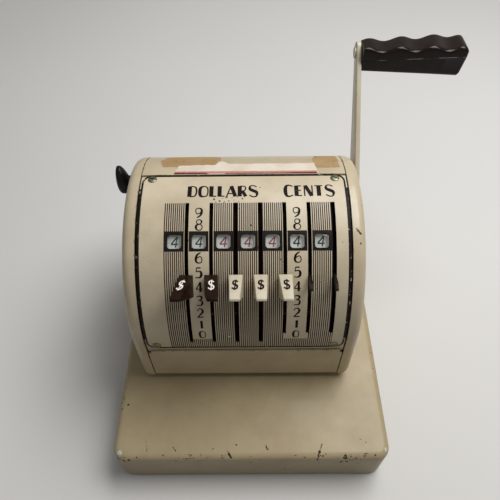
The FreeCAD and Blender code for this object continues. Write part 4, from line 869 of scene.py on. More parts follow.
# each material's maker and what it is made with
FINISHES = {
    "Cover_Enamel": (baked_enamel, dict(base="enamel", deep="enamel_deep", chips=COVER_CHIPS)),
    "Base_Enamel": (baked_enamel, dict(base="#AB9B79", deep="#A29070", chips=BASE_CHIPS, wear=0.54,
                                       edge=0.0014, pins=0.845, gloss=0.28, coat=0.08, pan=True)),
    "Arm_Enamel": (baked_enamel, dict(base="#CFC6AE", deep="#BFB394", wear=0.6, edge=0.0006)),
    "Printed_Plate": (printed_plate, {}),
    "Bordered_Panel": (panel_with_painted_shade, {}),
    "Print_Ink": (printing_ink, dict(ink_tone="print_ink", wear=0.7)),
    "Sign_Black": (printing_ink, dict(ink_tone="#1B1512")),
    "Sign_White": (printing_ink, dict(ink_tone="#EFEAE0")),
    "Band_Teal": (printing_ink, dict(ink_tone="teal_ink")),
    "Band_Red": (printing_ink, dict(ink_tone="red_ink")),
    "Band_Dark": (printing_ink, dict(ink_tone="dark_ink")),
    "Label_Band": (printing_ink, dict(ink_tone="#B98379", wear=0.62)),
    "Label_Rule": (printing_ink, dict(ink_tone="label_rule", wear=0.66)),
    "Band_Paint": (paper, dict(base="band", deep="#DDE2D8", spot="#8A8675", spots=0.85)),
    "Old_Paper": (paper, dict(base="label", deep="#D2C1AC")),
    "Dried_Tape": (paper, dict(base="tape", deep="#AC9067", spot="#7A5F3D", spots=0.6)),
    "Maroon_Plastic": (moulded, dict(base="maroon", deep="#190C06", roughness=0.34, dusty=0.05, gloss=0.1)),
    "Cream_Plastic": (moulded, dict(base="cream", deep="#C8BBA2", roughness=0.36, ior=1.54, coat=0.3)),
    "Brown_Bakelite": (moulded, dict(base="bakelite", deep="#22140A", roughness=0.1, dusty=0.02, gloss=0.2)),
    "Knob_Plastic": (moulded, dict(base="#0C0A09", deep="#110F0D", roughness=0.28, dusty=0.04, gloss=0.2)),
    "Surround_Paint": (moulded, dict(base="surround", deep="#1E150F", roughness=0.42, dusty=0.1, gloss=0.16)),
    "Clear_Acrylic": (clear_acrylic, {}),
    "Bright_Steel": (metal, dict(base="#C9C6BE", deep="#AEA99E", roughness=0.28, stretch=(0.1, 1, 1))),
    "Grey_Steel": (metal, dict(base="#8E8B84", deep="#75716A", roughness=0.45, stretch=(0.15, 1, 1))),
    "Screw_Steel": (metal, dict(base="#868872", deep="#62644F", roughness=0.42, stretch=(1, 1, 1),
                                stain="#3D3A2C", amount=0.6)),
    "Type_Brass": (metal, dict(base="#B79254", deep="#94713A", roughness=0.34, stretch=(0.2, 1, 1),
                               stain="#3B2A16", amount=0.5)),
    # the painted shade on the segments ends this far from the drum's axis
    "Blackened_Steel": (segment_steel_with_painted_shade, dict(shade_ends_at=RADIUS - 3.2)),
    "Black_Rubber": (rubber, {}),
    "Inked_Felt": (felt, {}),
    "Table_Top": (table_top, {}),
}
MATERIALS = {}


def finish(name):
    """The material of that name, made on first use."""
    if name not in MATERIALS:
        maker, values = FINISHES[name]
        MATERIALS[name] = maker(name, **values)
    return MATERIALS[name]


# ------------------------------------------------------------------ head

UP = (0, 0, 1)
FRONTWARDS = (0, -1, 0)
ABOUT_X = (-1, 0, 0)


def back_edge(back):
    """How high the sloping back meets the upright back."""
    turn = math.radians(BACK_SLOPE)
    start = CROWN + CROWN_RADIUS * Vector((0, math.sin(turn), math.cos(turn)))
    return start.z - (back - start.y) * math.tan(turn)


def over_the_top(x, back, start, drum_steps, crown_steps):
    """The legs of a chain from an angle on the drum over the crown to the upright back."""
    return (((x, DRUM.y, DRUM.z), ABOUT_X, CROWN_START - start, drum_steps),
            ((x, CROWN.y, CROWN.z), ABOUT_X, 180 - BACK_SLOPE - CROWN_START, crown_steps),
            (x, back, back_edge(back)))


def side_cover(name, side):
    """A pressed end cover: its rim is bent well round, and it is open inwards and downwards."""
    low, high = node_box(name)
    outer, inner = (low.x, high.x) if side < 0 else (high.x, low.x)
    low, high = node_box("left_cover")
    front, back, foot = low.y, high.y, low.z
    throat_low, throat_high = node_box("throat_plate")
    chin, pillar = throat_low.z, throat_high.y
    bm = bmesh.new()
    face = outline(bm, (outer, front, chin), (outer, front, DRUM.z), *over_the_top(outer, back, 0.0, 40, 12),
                   (outer, back, foot), (outer, pillar, foot), (outer, pillar, chin))
    extrude(bm, [face], (inner - outer, 0, 0))
    outward(bm)
    rim = [e for e in bm.edges if lies_at(e, X, outer) and not lies_at(e, Z, foot)]
    bevel(bm, rim, sizes().cover_bend, 6)
    remove_faces(bm, lambda f: lies_at(f, X, inner) or lies_at(f, Z, foot))
    bmesh.ops.solidify(bm, geom=bm.faces[:], thickness=sizes().sheet)
    return bm


class CHECKWRITER_OT_covers(bpy.types.Operator):
    """Make the two side covers and the top cover"""
    bl_idname = "checkwriter.covers"
    bl_label = "Covers"

    def execute(self, context):
        for name, side in (("left_cover", -1), ("right_cover", 1)):
            write(name + "_shell", side_cover(name, side), "frame", "cream_enamel", "Cover_Enamel", name)
        side_low, side_high = node_box("left_cover")
        back, foot = side_high.y, side_low.z
        low, high = node_box("top_cover")
        fold = 3.0
        bm = bmesh.new()
        chain(bm, drum_point(low.x, RADIUS, COVER_START), *over_the_top(low.x, back, COVER_START, 3, 14),
              (low.x, back, foot))
        draw_out(bm, bm.edges[:], (high.x - low.x, 0, 0))
        corner = [e for e in bm.edges if lies_at(e, Y, back) and all(v.co.z > foot + 5 for v in e.verts)]
        bevel(bm, corner, fold, 4)
        outward(bm, UP)
        bmesh.ops.solidify(bm, geom=bm.faces[:], thickness=sizes().sheet)
        write("top_cover_sheet", bm, "frame", "cream_enamel", "Cover_Enamel", "top_cover")
        return {"FINISHED"}


class CHECKWRITER_OT_apron(bpy.types.Operator):
    """Make the apron under the face plate"""
    bl_idname = "checkwriter.apron"
    bl_label = "Apron"

    def execute(self, context):
        low, high = node_box("apron")
        thick, bend = 1.4, 1.9
        # a step at each upper corner, this high and this wide
        step, notch = 4.0, 2.4
        bm = bmesh.new()
        outline(bm, *[(x, low.y, z) for x, z in (
            (low.x, low.z), (high.x, low.z), (high.x, high.z - step), (high.x - notch, high.z - step),
            (high.x - notch, high.z), (low.x + notch, high.z), (low.x + notch, high.z - step),
            (low.x, high.z - step))])
        draw_out(bm, [e for e in bm.edges if lies_at(e, Z, low.z)], (0, high.y - low.y, 0))
        outward(bm, FRONTWARDS)
        bevel(bm, [e for e in bm.edges if len(e.link_faces) == 2], bend, 4)
        bmesh.ops.solidify(bm, geom=bm.faces[:], thickness=thick)
        write("apron_sheet", bm, "frame", "cream_enamel", "Cover_Enamel", "apron")
        return {"FINISHED"}


# x0, x1, y0, y1 of the holes in the base's top, for the platen and for the post beside the cam
BASE_HOLES = ((-67.7, 69.65, 2.67, 25.67), (65.25, 77.75, 75.0, 107.0))
BASE_SHEET = 1.6


class CHECKWRITER_OT_base(bpy.types.Operator):
    """Make the pressed base"""
    bl_idname = "checkwriter.base"
    bl_label = "Base"

    def execute(self, context):
        low, high = node_box("base_cover")
        bm = bmesh.new()
        block(bm, low, high)
        bevel(bm, [e for e in bm.edges if run(e, Z) > 1], sizes().base_corner, 8)
        bevel(bm, [e for e in bm.edges if lies_at(e, Z, high.z)], sizes().base_bend, 6)
        remove_faces(bm, lambda f: lies_at(f, Z, low.z))
        for hole in BASE_HOLES:
            slice_at(bm, X, hole[:2], lambda f: f.normal.z > 0.99)
            slice_at(bm, Y, hole[2:], lambda f: f.normal.z > 0.99)
            remove_faces(bm, lambda f: f.normal.z > 0.99 and within(f, *hole))
        bmesh.ops.solidify(bm, geom=bm.faces[:], thickness=BASE_SHEET)
        write("base_shell", bm, "frame", "cream_enamel", "Base_Enamel", "base_cover")
        return {"FINISHED"}


# ------------------------------------------------------------------ face

PLATE_SHEET = 1.4
# half the width, and half the angle, of the plate's windows, their surrounds and panes
WINDOW_HALF = (7.6, 4.7)
SURROUND_HALF = (7.5, 4.64)
SURROUND_OPENING = (5.5, 3.35)
PANE_HALF = (5.25, 3.2)
# the longest facet along the drum's round, in degrees
WINDOW_FACET = 1.2
PLATE_FACET = 2.2


class CHECKWRITER_OT_face_plate(bpy.types.Operator):
    """Make the curved face plate with its slots and windows"""
    bl_idname = "checkwriter.face_plate"
    bl_label = "Face Plate"

    def execute(self, context):
        low_x, high_x = plate_span()
        low, high = arc(PLATE_FOOT), arc(PLATE_TOP)
        bm = bmesh.new()
        flat_sheet(bm, (high_x - low_x) / 2, (high - low) / 2)
        bmesh.ops.translate(bm, vec=((low_x + high_x) / 2, (low + high) / 2, 0), verts=bm.verts)
        bevel(bm, bm.verts[:], sizes().plate_corner, 8, "VERTICES")
        slot_half = sizes().slot_width / 2
        slot_top = arc(ZERO_ANGLE + DIGIT_STEP * 9 + 5.25)
        window_half, window_turn = WINDOW_HALF
        window_span = (arc(WINDOW_ANGLE - window_turn), arc(WINDOW_ANGLE + window_turn))
        openings = []
        for column in COLUMNS:
            slot = SLOTS[column]
            middle = slot - PITCH / 2
            # the first four slots start a step lower
            foot = ZERO_ANGLE + 0.1 - DIGIT_DROP - (DIGIT_STEP if column <= 4 else 0)
            openings.append((slot - slot_half, slot + slot_half, arc(foot), slot_top))
            openings.append((middle - window_half, middle + window_half, *window_span))
        slice_at(bm, X, sorted({round(x, 4) for o in openings for x in o[:2]}))
        slice_at(bm, Y, sorted({round(s, 4) for o in openings for s in o[2:]}))
        slice_at(bm, Y, spread(low, high, arc(PLATE_FACET)))
        remove_faces(bm, lambda f: any(within(f, *o) for o in openings))
        bend_round(bm)
        outward(bm, UP)
        bmesh.ops.solidify(bm, geom=bm.faces[:], thickness=PLATE_SHEET)
        write("face_plate_sheet", bm, "frame", "cream_enamel", "Printed_Plate", "face_plate")
        return {"FINISHED"}


def window_surround(middle):
    """A flat rim round a rounded opening, with a wall that goes down through the plate."""
    corner, deep, sunk, bend = 2.4, 2.55, 0.3, 0.55
    half_x, half_s = SURROUND_HALF[0], arc(SURROUND_HALF[1])
    open_x, open_s = SURROUND_OPENING[0], arc(SURROUND_OPENING[1])
    bm = bmesh.new()
    flat_sheet(bm, half_x, half_s)
    inner = bm.faces[:]
    bmesh.ops.inset_region(bm, faces=inner, thickness=1.0, use_boundary=True, use_even_offset=True)
    corners = list(inner[0].verts)
    for vert in corners:
        vert.co.x = math.copysign(open_x, vert.co.x)
        vert.co.y = math.copysign(open_s, vert.co.y)
    bevel(bm, corners, corner, 6, "VERTICES")
    remove_faces(bm, lambda f: within(f, -0.5, 0.5, -0.5, 0.5))
    outward(bm, UP)
    rim = [e for e in bm.edges if e.is_boundary
           and all(abs(v.co.x) < open_x + 0.1 and abs(v.co.y) < open_s + 0.1 for v in e.verts)]
    draw_out(bm, rim, (0, 0, -deep))
    bevel(bm, [e for e in rim if e.is_valid], bend)
    slice_at(bm, Y, spread(-half_s, half_s, arc(WINDOW_FACET)))
    bmesh.ops.translate(bm, vec=(middle, arc(WINDOW_ANGLE), -sunk), verts=bm.verts)
    return bm


def window_pane(middle):
    """A clear pane that fills the surround's opening, with its upper edge rounded."""
    corner, thick, sunk, bend = 2.2, 2.3, 4.1, 0.7
    half_x, half_s = PANE_HALF[0], arc(PANE_HALF[1])
    bm = bmesh.new()
    flat_sheet(bm, half_x, half_s)
    bevel(bm, bm.verts[:], corner, 6, "VERTICES")
    extrude(bm, bm.faces[:], (0, 0, thick))
    outward(bm)
    bevel(bm, [e for e in bm.edges if lies_at(e, Z, thick)], bend)
    slice_at(bm, Y, spread(-half_s, half_s, arc(WINDOW_FACET)))
    bmesh.ops.translate(bm, vec=(middle, arc(WINDOW_ANGLE), -sunk), verts=bm.verts)
    return bm


class CHECKWRITER_OT_windows(bpy.types.Operator):
    """Make the window surrounds and the clear panes"""
    bl_idname = "checkwriter.windows"
    bl_label = "Windows"

    def execute(self, context):
        surrounds, panes = bmesh.new(), bmesh.new()
        for column in COLUMNS:
            middle = SLOTS[column] - PITCH / 2
            merge(surrounds, window_surround(middle))
            merge(panes, window_pane(middle))
        bend_round(surrounds)
        bend_round(panes)
        write("window_surrounds", surrounds, "frame", "black_enamel", "Surround_Paint", "window_bezels",
              sharp=40)
        write("window_panes", panes, "frame", "window_glass", "Clear_Acrylic", "window_lenses")
        return {"FINISHED"}


# each heading's word and the x between which it is set
HEADINGS = (("DOLLARS", -48.8, 7.8), ("CENTS", 27.7, 68.7))
HEADING_ANGLE = 80.9
HEADING_HEIGHT = 10.6
# the digits round the windows, which sit a little high, clear of the surround
RAISED = {8: 1.6, 9: 0.65}


def set_word(bm, word, left, right, angle, height):
    """Sets a word between two places on the face, with even gaps between its letters."""
    extents = [width_of(LETTERS[letter], height) for letter in word]
    gap = (right - left - sum(high - low for low, high in extents)) / (len(word) - 1)
    x = left
    for letter, (low, high) in zip(word, extents):
        print_on_drum(bm, ink(LETTERS[letter], height, bold=1.2), x - low, angle)
        x += high - low + gap


class CHECKWRITER_OT_face_print(bpy.types.Operator):
    """Print the digit columns and the two plain headings on the face plate"""
    bl_idname = "checkwriter.face_print"
    bl_label = "Face Print"

    def execute(self, context):
        bm = bmesh.new()
        half_turn = math.degrees(DIGIT_HEIGHT / 2 / RADIUS)
        for column in PLAIN:
            middle = SLOTS[column] - PITCH / 2
            for digit, strokes in DIGITS.items():
                low, high = width_of(strokes, DIGIT_HEIGHT)
                angle = ZERO_ANGLE + DIGIT_STEP * digit - DIGIT_DROP - half_turn + RAISED.get(digit, 0.0)
                print_on_drum(bm, ink(strokes, DIGIT_HEIGHT, bold=1.14), middle - (low + high) / 2, angle)
        for word, left, right in HEADINGS:
            set_word(bm, word, left, right, HEADING_ANGLE, HEADING_HEIGHT)
        write("face_print", bm, "frame", "brown_bakelite", "Print_Ink")
        return {"FINISHED"}


# the number bands: their round, their two sides beside a slot, and how far they reach past their digits
BAND_RADIUS = 89.5
BAND_SIDES = (-15.4, -3.6)
BAND_FOOT = LEVER_REST - 2 * DIGIT_STEP - 3.2
BAND_TOP = LEVER_REST + 8 * DIGIT_STEP + 2.8
BAND_PEN = 0.13
BAND_SLANT = 0.16
BAND_FACET = 2.5
# how far they stand over their round, and the angles between which that falls off to pass the crown
RIM_HIGH, RIM_LOW = 2.7, 0.85
RIM_FALL = (79.0, 94.0)


def band_rim(turn):
    """How far a number band stands over its round at an angle."""
    fallen = (turn - RIM_FALL[0]) / (RIM_FALL[1] - RIM_FALL[0])
    return RIM_HIGH - (RIM_HIGH - RIM_LOW) * min(1.0, max(0.0, fallen))


class CHECKWRITER_OT_number_bands(bpy.types.Operator):
    """Make the number bands that turn behind the windows"""
    bl_idname = "checkwriter.number_bands"
    bl_label = "Number Bands"

    def execute(self, context):
        half_turn = math.degrees(DIGIT_HEIGHT / 2 / BAND_RADIUS)
        fall_start, fall_end = RIM_FALL
        for column in COLUMNS:
            body = "selector_%d" % column
            slot = SLOTS[column]
            bm = bmesh.new()
            block(bm, (slot + BAND_SIDES[0], BAND_FOOT, 0.0), (slot + BAND_SIDES[1], BAND_TOP, 1.0))
            slice_at(bm, Y, [*spread(BAND_FOOT, fall_start, BAND_FACET), fall_start,
                             *spread(fall_start, fall_end, BAND_FACET), fall_end])
            for vert in bm.verts:
                x, turn, share = vert.co
                vert.co = drum_point(x, BAND_RADIUS + share * band_rim(turn), turn)
            outward(bm)
            write("number_band_%d" % column, bm, body, "cream_plastic", "Band_Paint")
            digits = bmesh.new()
            for digit, strokes in BAND_DIGITS.items():
                low, high = width_of(strokes, DIGIT_HEIGHT)
                # the slant leans a digit to the right, so it starts a little to the left
                x = slot - PITCH / 2 - (low + high) / 2 - 0.55
                angle = WINDOW_ANGLE + DIGIT_STEP * (SHOWN - digit) - half_turn
                glyph = ink(strokes, DIGIT_HEIGHT, BAND_PEN, BAND_SLANT)
                print_on_drum(digits, glyph, x, angle, BAND_RADIUS, 0.0, band_rim)
            tint = "Band_Teal" if column <= 2 else "Band_Red" if column <= 5 else "Band_Dark"
            write("band_digits_%d" % column, digits, body, "brown_bakelite", tint)
        return {"FINISHED"}


# ------------------------------------------------------------------ label and tape

# each piece, its slot, material, lift over the cover and thickness, and its sheets: how far the upper
# edges are torn and the corners, as x and the distance up the cover from its front edge
CROWN_SHEETS = (
    ("dried_tape", "cream_plastic", "Dried_Tape", 0.03, 0.06, (
        (1.4, ((-72, 11.5), (-27.8, 13.0), (-24, 24), (-25, 36), (-40, 41), (-70, 38), (-76, 24))),
        (1.2, ((56, 9), (75.5, 8.5), (76, 24), (75.5, 39), (58, 40), (54, 24))))),
    ("paper_label", "cream_plastic", "Old_Paper", 0.11, 0.1, (
        (0.9, ((-62.2, 0.3), (56.4, 0.3), (55.4, 16.5), (-17, 16.0), (-20, 19.5), (-22.5, 21.8), (-26, 21.2),
               (-27.5, 14.6), (-58.5, 13.3))),)),
    ("label_band", "maroon_plastic", "Label_Band", 0.213, 0.02, (
        (0.5, ((-61.7, 1.0), (56.0, 1.0), (55.7, 4.2), (-61.2, 4.2))),)),
    ("label_rule", "maroon_plastic", "Label_Rule", 0.26, 0.03, (
        (0.3, ((-61.9, 0.6), (-33, 0.6), (-36, 2.3), (-61.5, 2.6))),
        (0.3, ((-20, 0.6), (56.1, 0.6), (55.9, 2.3), (38, 2.1), (30, 1.6), (-18.5, 1.5))))),
)
# below the first distance an edge is cut straight, and past the second it is fully torn
TEAR_START, TEAR_FULL = 2.4, 7.4


def crown_point(x, reach, lift):
    """A place on the top cover, reach millimetres up its curve from its front edge."""
    near = math.radians(CROWN_START - COVER_START) * RADIUS
    if reach < near:
        return drum_point(x, RADIUS + lift, COVER_START + math.degrees(reach / RADIUS))
    turn = math.radians(CROWN_START) + (reach - near) / CROWN_RADIUS
    out = CROWN_RADIUS + lift
    return Vector((x, CROWN.y - out * math.cos(turn), CROWN.z + out * math.sin(turn)))


def torn_sheet(corners, lift, thick, tear):
    """A thin sheet laid on the top cover, its upper edges torn."""
    bm = bmesh.new()
    outline(bm, *[(x, reach, 0.0) for x, reach in corners])
    bmesh.ops.subdivide_edges(bm, edges=[e for e in bm.edges if e.calc_length() > 5], cuts=18)
    for vert in bm.verts:
        loose = min(1.0, max(0.0, (vert.co.y - TEAR_START) / (TEAR_FULL - TEAR_START))) * tear
        shake = noise.noise_vector(vert.co * 0.3) + noise.noise_vector(vert.co * 1.1) * 0.4
        vert.co.x += shake.x * loose
        vert.co.y += shake.y * loose
    slice_at(bm, Y, spread(*extent(bm, Y), 1.5))
    extrude(bm, bm.faces[:], (0, 0, thick))
    for vert in bm.verts:
        vert.co = crown_point(vert.co.x, vert.co.y, lift + vert.co.z)
    outward(bm)
    return bm


class CHECKWRITER_OT_label(bpy.types.Operator):
    """Lay the old paper label and the dried tape on the crown"""
    bl_idname = "checkwriter.label"
    bl_label = "Label"

    def execute(self, context):
        for name, slot, material, lift, thick, sheets in CROWN_SHEETS:
            bm = bmesh.new()
            for tear, corners in sheets:
                merge(bm, torn_sheet(corners, lift, thick, tear))
            write(name, bm, "frame", slot, material)
        return {"FINISHED"}


# ------------------------------------------------------------------ levers' caps

CAP_ROOT = RADIUS + 2.2
CAP_TIP = RADIUS + 37.0
# at its root and at its tip: half a cap's width, and how far it reaches under and over its lever
CAP_WIDE = (5.4, 3.7)
CAP_LOW = (-9.0, -0.3)
CAP_HIGH = (9.4, 2.0)
# how far the tips of two caps have been pushed to the side
CAP_PUSH = {1: -4.1, 2: 3.3}
SIGN_HEIGHT = 11.2
SIGN_NARROW = 0.56
SIGN_MIDDLE = RADIUS + 17.8


def lever_frame(column):
    """Local X across a lever, Y towards the drum axis along it, Z up off its top face."""
    turned = Matrix.Rotation(-math.radians(LEVER_REST), 4, "X")
    return Matrix.Translation((SLOTS[column], DRUM.y, DRUM.z)) @ turned


def on_cap(sizes_there, place):
    """A size that runs evenly from its value at a cap's root to that at its tip, at a local Y."""
    root, tip = sizes_there
    return root + (tip - root) * (-place - CAP_ROOT) / (CAP_TIP - CAP_ROOT)


def taper_cap(bm, push):
    """Shapes what was laid out in a unit cap: x from -1 to 1 across, z from 0 up to 1 at the top."""
    for vert in bm.verts:
        x, y, z = vert.co
        low, high = on_cap(CAP_LOW, y), on_cap(CAP_HIGH, y)
        vert.co.x = x * on_cap(CAP_WIDE, y) + on_cap((0.0, push), y)
        vert.co.z = low + (high - low) * min(z, 1.0) + max(z - 1.0, 0.0)


def cap_mesh(push):
    """A wedge cap in a lever's own frame: wide and deep at its root, blunt at its tip."""
    bm = bmesh.new()
    block(bm, (-1.0, -CAP_TIP, 0.0), (1.0, -CAP_ROOT, 1.0))
    taper_cap(bm, push)
    bevel(bm, bm.edges[:], 0.6)
    outward(bm)
    return bm


def cap_sign(push, bold):
    """The currency sign, laid on a cap's sloping top face, tall and narrow."""
    sign = ink(SIGN, SIGN_HEIGHT, slant=0.12, bold=bold)
    bmesh.ops.translate(sign, vec=(-0.39 * SIGN_HEIGHT, -SIGN_HEIGHT / 2 - SIGN_MIDDLE, 1.06),
                        verts=sign.verts)
    for vert in sign.verts:
        vert.co.x *= SIGN_NARROW / on_cap(CAP_WIDE, vert.co.y)
    taper_cap(sign, push)
    return sign


class CHECKWRITER_OT_caps(bpy.types.Operator):
    """Make the five lever caps and their signs"""
    bl_idname = "checkwriter.caps"
    bl_label = "Lever Caps"

    def execute(self, context):
        for column in CAPPED:
            body = "selector_%d" % column
            push = CAP_PUSH.get(column, 0.0)
            dark = column in DARK_CAPS
            cap = cap_mesh(push)
            sign = cap_sign(push, 1.0 if dark else 1.35)
            for part in (cap, sign):
                bmesh.ops.transform(part, matrix=lever_frame(column), verts=part.verts)
            plastic, sign_slot, paint = (("maroon", "cream_plastic", "Sign_White") if dark
                                         else ("cream", "brown_bakelite", "Sign_Black"))
            write("cap_%d" % column, cap, body, plastic + "_plastic", plastic.capitalize() + "_Plastic",
                  "lever_cap_%d" % column, sharp=40)
            write("cap_sign_%d" % column, sign, body, sign_slot, paint)
        return {"FINISHED"}


# ------------------------------------------------------------------ screws and feet

SCREW_RADIUS = 3.6
SCREW_HEIGHT = 1.08
# how far the face screws stand from the plate's sides, their angles, and how each slot is turned
SCREW_INSET = 8
SCREW_ANGLES = (1.5, 92.0)
SLOT_TURNS = (20, 75, 100, 60)
FOOT_RADIUS = 9.0
# a foot from its socket's floor round its foot and up its flank, as height and radius
FOOT_PROFILE = ((4.5, 0), (4.5, 9.0), (1.0, 7.9), (0.35, 7.6), (0.0, 7.0), (0.0, 4.4), (0.4, 3.9), (2.4, 3.7),
                (2.4, 0))
# the foot screws: how high their heads start in the sockets, their radius and height
FOOT_SCREW = (2.35, 3.0, 1.2)


def slotted_head(bm, place, axis, radius, height, slot_turn):
    """A low domed screw head with a sawn slot, its foot at place and pointing along axis."""
    head = bmesh.new()
    lathe(head, (0, 0, 0), UP, [(0, 0), (0, radius), (height * 0.45, radius), (height * 0.85, radius * 0.8),
                                (height, radius * 0.45), (height, 0)], 32)
    half = radius * 0.13
    slot_floor = height * 0.45
    slice_at(head, X, (-half, half))
    for vert in head.verts:
        if abs(vert.co.x) < half - 1e-4 and vert.co.z > slot_floor:
            vert.co.z = slot_floor
    strip = []
    for face in head.faces:
        middle = face.calc_center_median()
        if abs(middle.x) < half - 1e-3 and middle.z > slot_floor:
            strip.append(face)
    made = bmesh.ops.extrude_face_region(head, geom=strip)
    for vert in verts_in(made["geom"]):
        vert.co.z = slot_floor
    bmesh.ops.delete(head, geom=[face for face in strip if face.is_valid], context="FACES_ONLY")
    aim = Vector(UP).rotation_difference(Vector(axis)).to_matrix().to_4x4()
    merge(bm, head, Matrix.Translation(place) @ aim @ Matrix.Rotation(math.radians(slot_turn), 4, "Z"))


class CHECKWRITER_OT_screws(bpy.types.Operator):
    """Make the face screws and the feet with their screws"""
    bl_idname = "checkwriter.screws"
    bl_label = "Screws and Feet"

    def execute(self, context):
        low_x, high_x = plate_span()
        places = [(x, angle) for x in (low_x + SCREW_INSET, high_x - SCREW_INSET) for angle in SCREW_ANGLES]
        bm = bmesh.new()
        for (x, angle), slot_turn in zip(places, SLOT_TURNS):
            axis = drum_point(x, 1, angle) - drum_point(x, 0, angle)
            slotted_head(bm, drum_point(x, RADIUS + 0.02, angle), axis, SCREW_RADIUS, SCREW_HEIGHT, slot_turn)
        write("face_screw_heads", bm, "frame", "bright_steel", "Screw_Steel", "face_screws", sharp=30)

        low, high = node_box("rubber_feet")
        head_foot, head_radius, head_height = FOOT_SCREW
        feet, screws = bmesh.new(), bmesh.new()
        for x in (low.x + FOOT_RADIUS, high.x - FOOT_RADIUS):
            for y in (low.y + FOOT_RADIUS, high.y - FOOT_RADIUS):
                foot = bmesh.new()
                lathe(foot, (0, 0, 0), UP, FOOT_PROFILE, 36)
                merge(feet, foot, Matrix.Translation((x, y, low.z)))
                slotted_head(screws, (x, y, low.z + head_foot), (0, 0, -1), head_radius, head_height, 35 + x)
        write("feet_moulded", feet, "frame", "black_rubber", "Black_Rubber", "rubber_feet")
        write("foot_screws", screws, "frame", "bright_steel", "Screw_Steel", sharp=30)
        return {"FINISHED"}


# ------------------------------------------------------------------ handle and side lever

ARM_LEAN = 41.1
# the arm's half width at the shaft and at the grip, and the distance between these
ARM_ROOT, ARM_TIP, ARM_REACH = 16.0, 6.0, 156.0
ARM_EDGE = 0.9
GRIP_LENGTH = 94.0
# the block that the grip is shaped from, where its parting line is in it, and its moulded radii
GRIP_BLOCK = 24.0
GRIP_SEAM = 0.5
GRIP_TOP_BEND, GRIP_FOOT_BEND, GRIP_END_BEND = 3.4, 2.4, 3.2
# its front, its depth, crests, foot and parting line at the arm, each with its change to the outer end
GRIP_FRONT = 152.2
GRIP_DEPTH, GRIP_FLARE = 20.0, 6.9
GRIP_CREST, GRIP_RISE = 254.5, 1.31
GRIP_FOOT, GRIP_DROP = 232.4, 6.1
GRIP_PARTING, GRIP_PARTING_RISE = 242.9, 3.1
# the finger flutes: their depth and pitch, the first crest, and how far they slew to the back
FLUTE_DEPTH, FLUTE_PITCH, FLUTE_START, FLUTE_SLEW = 3.7, 29.4, 2.6, 4.5
# from this share of its length the last crest rolls over, by so much
ROLL_START, ROLL_DROP = 0.91, 4.0
# how much of the outer end slants in towards its foot, from what height over it, and by how much
END_SLANT, SLANT_HEIGHT, SLANT_IN = 30.0, 18.0, 3.7


def leaning(bm, pivot_point, degrees):
    """Turns a piece back about an axis along X and sets its own origin at the pivot."""
    back = Matrix.Rotation(math.radians(-degrees), 3, "X")
    bmesh.ops.rotate(bm, cent=(0, 0, 0), matrix=back, verts=bm.verts)
    bmesh.ops.translate(bm, vec=(0, pivot_point.y, pivot_point.z), verts=bm.verts)


def tapered_bar(x0, x1, root, tip, reach, edge):
    """A flat bar up local Z with round ends about (0, 0) and (0, reach)."""
    turn = math.asin((root - tip) / reach)
    flank = math.degrees(turn)
    side, up = math.cos(turn), math.sin(turn)
    bm = bmesh.new()
    chain(bm, (x0, root * side, root * up), (x0, tip * side, reach + tip * up),
          ((x0, 0, reach), (1, 0, 0), 180 - 2 * flank, 14), (x0, -root * side, root * up),
          ((x0, 0, 0), (1, 0, 0), 180 + 2 * flank, 24))
    bmesh.ops.remove_doubles(bm, verts=bm.verts, dist=1e-3)
    extrude(bm, [fill(bm)], (x1 - x0, 0, 0))
    outward(bm)
    bevel(bm, [e for e in bm.edges if run(e, X) < 1e-4], edge)
    return bm


def grip_block(x0, x1, seam):
    """A plain block with its moulded radii, cut up finely enough for the flutes."""
    bm = bmesh.new()
    block(bm, (x0, 0.0, 0.0), (x1, GRIP_BLOCK, GRIP_BLOCK))
    bevel(bm, [e for e in bm.edges if run(e, X) > 1 and e.verts[0].co.z > GRIP_BLOCK / 2], GRIP_TOP_BEND, 6)
    bevel(bm, [e for e in bm.edges if run(e, X) > 1 and lies_at(e, Z, 0.0) and e.calc_face_angle(0) > 1],
          GRIP_FOOT_BEND, 4)
    bevel(bm, [e for e in bm.edges if lies_at(e, X, x1)], GRIP_END_BEND, 6)
    slice_at(bm, X, spread(x0, x1, 1.2))
    slice_at(bm, Y, spread(3.5, 20.5, 2.4))
    slice_at(bm, Z, (seam - 0.35, seam, seam + 0.35))
    return bm


def grip_mesh():
    """The moulded grip: square-cut below, four finger flutes over its top, and a parting line in front."""
    x0 = node_box("handle_grip")[0].x
    x1 = x0 + GRIP_LENGTH
    seam = GRIP_SEAM * GRIP_BLOCK
    bm = grip_block(x0, x1, seam)
    for vert in bm.verts:
        share = (vert.co.x - x0) / (x1 - x0)
        back = vert.co.y / GRIP_BLOCK
        up = vert.co.z / GRIP_BLOCK
        phase = (vert.co.x - x0 - FLUTE_START - FLUTE_SLEW * back) / FLUTE_PITCH * math.tau
        rolled = max(0.0, share - ROLL_START) / (1 - ROLL_START)
        top = (GRIP_CREST + GRIP_RISE * share - FLUTE_DEPTH * (0.5 - 0.5 * math.cos(phase))
               - ROLL_DROP * rolled ** 2)
        bottom = GRIP_FOOT - GRIP_DROP * share
        # the parting line runs straight, whatever the flutes above it do, and stands out a little
        parting = GRIP_PARTING + GRIP_PARTING_RISE * share
        ridge = 0.3 if abs(vert.co.z - seam) < 0.01 and vert.co.y < 0.01 else 0.0
        vert.co.y = GRIP_FRONT + back * (GRIP_DEPTH + GRIP_FLARE * share) - ridge
        if up < GRIP_SEAM:
            vert.co.z = bottom + up / GRIP_SEAM * (parting - bottom)
        else:
            vert.co.z = parting + (up - GRIP_SEAM) / (1 - GRIP_SEAM) * (top - parting)
        near_end = max(0.0, (vert.co.x - (x1 - END_SLANT)) / END_SLANT)
        below = max(0.0, (GRIP_FOOT + SLANT_HEIGHT - vert.co.z) / (SLANT_HEIGHT + GRIP_DROP))
        vert.co.x = min(vert.co.x - near_end * SLANT_IN * below ** 2.2, x1)
    outward(bm)
    return bm


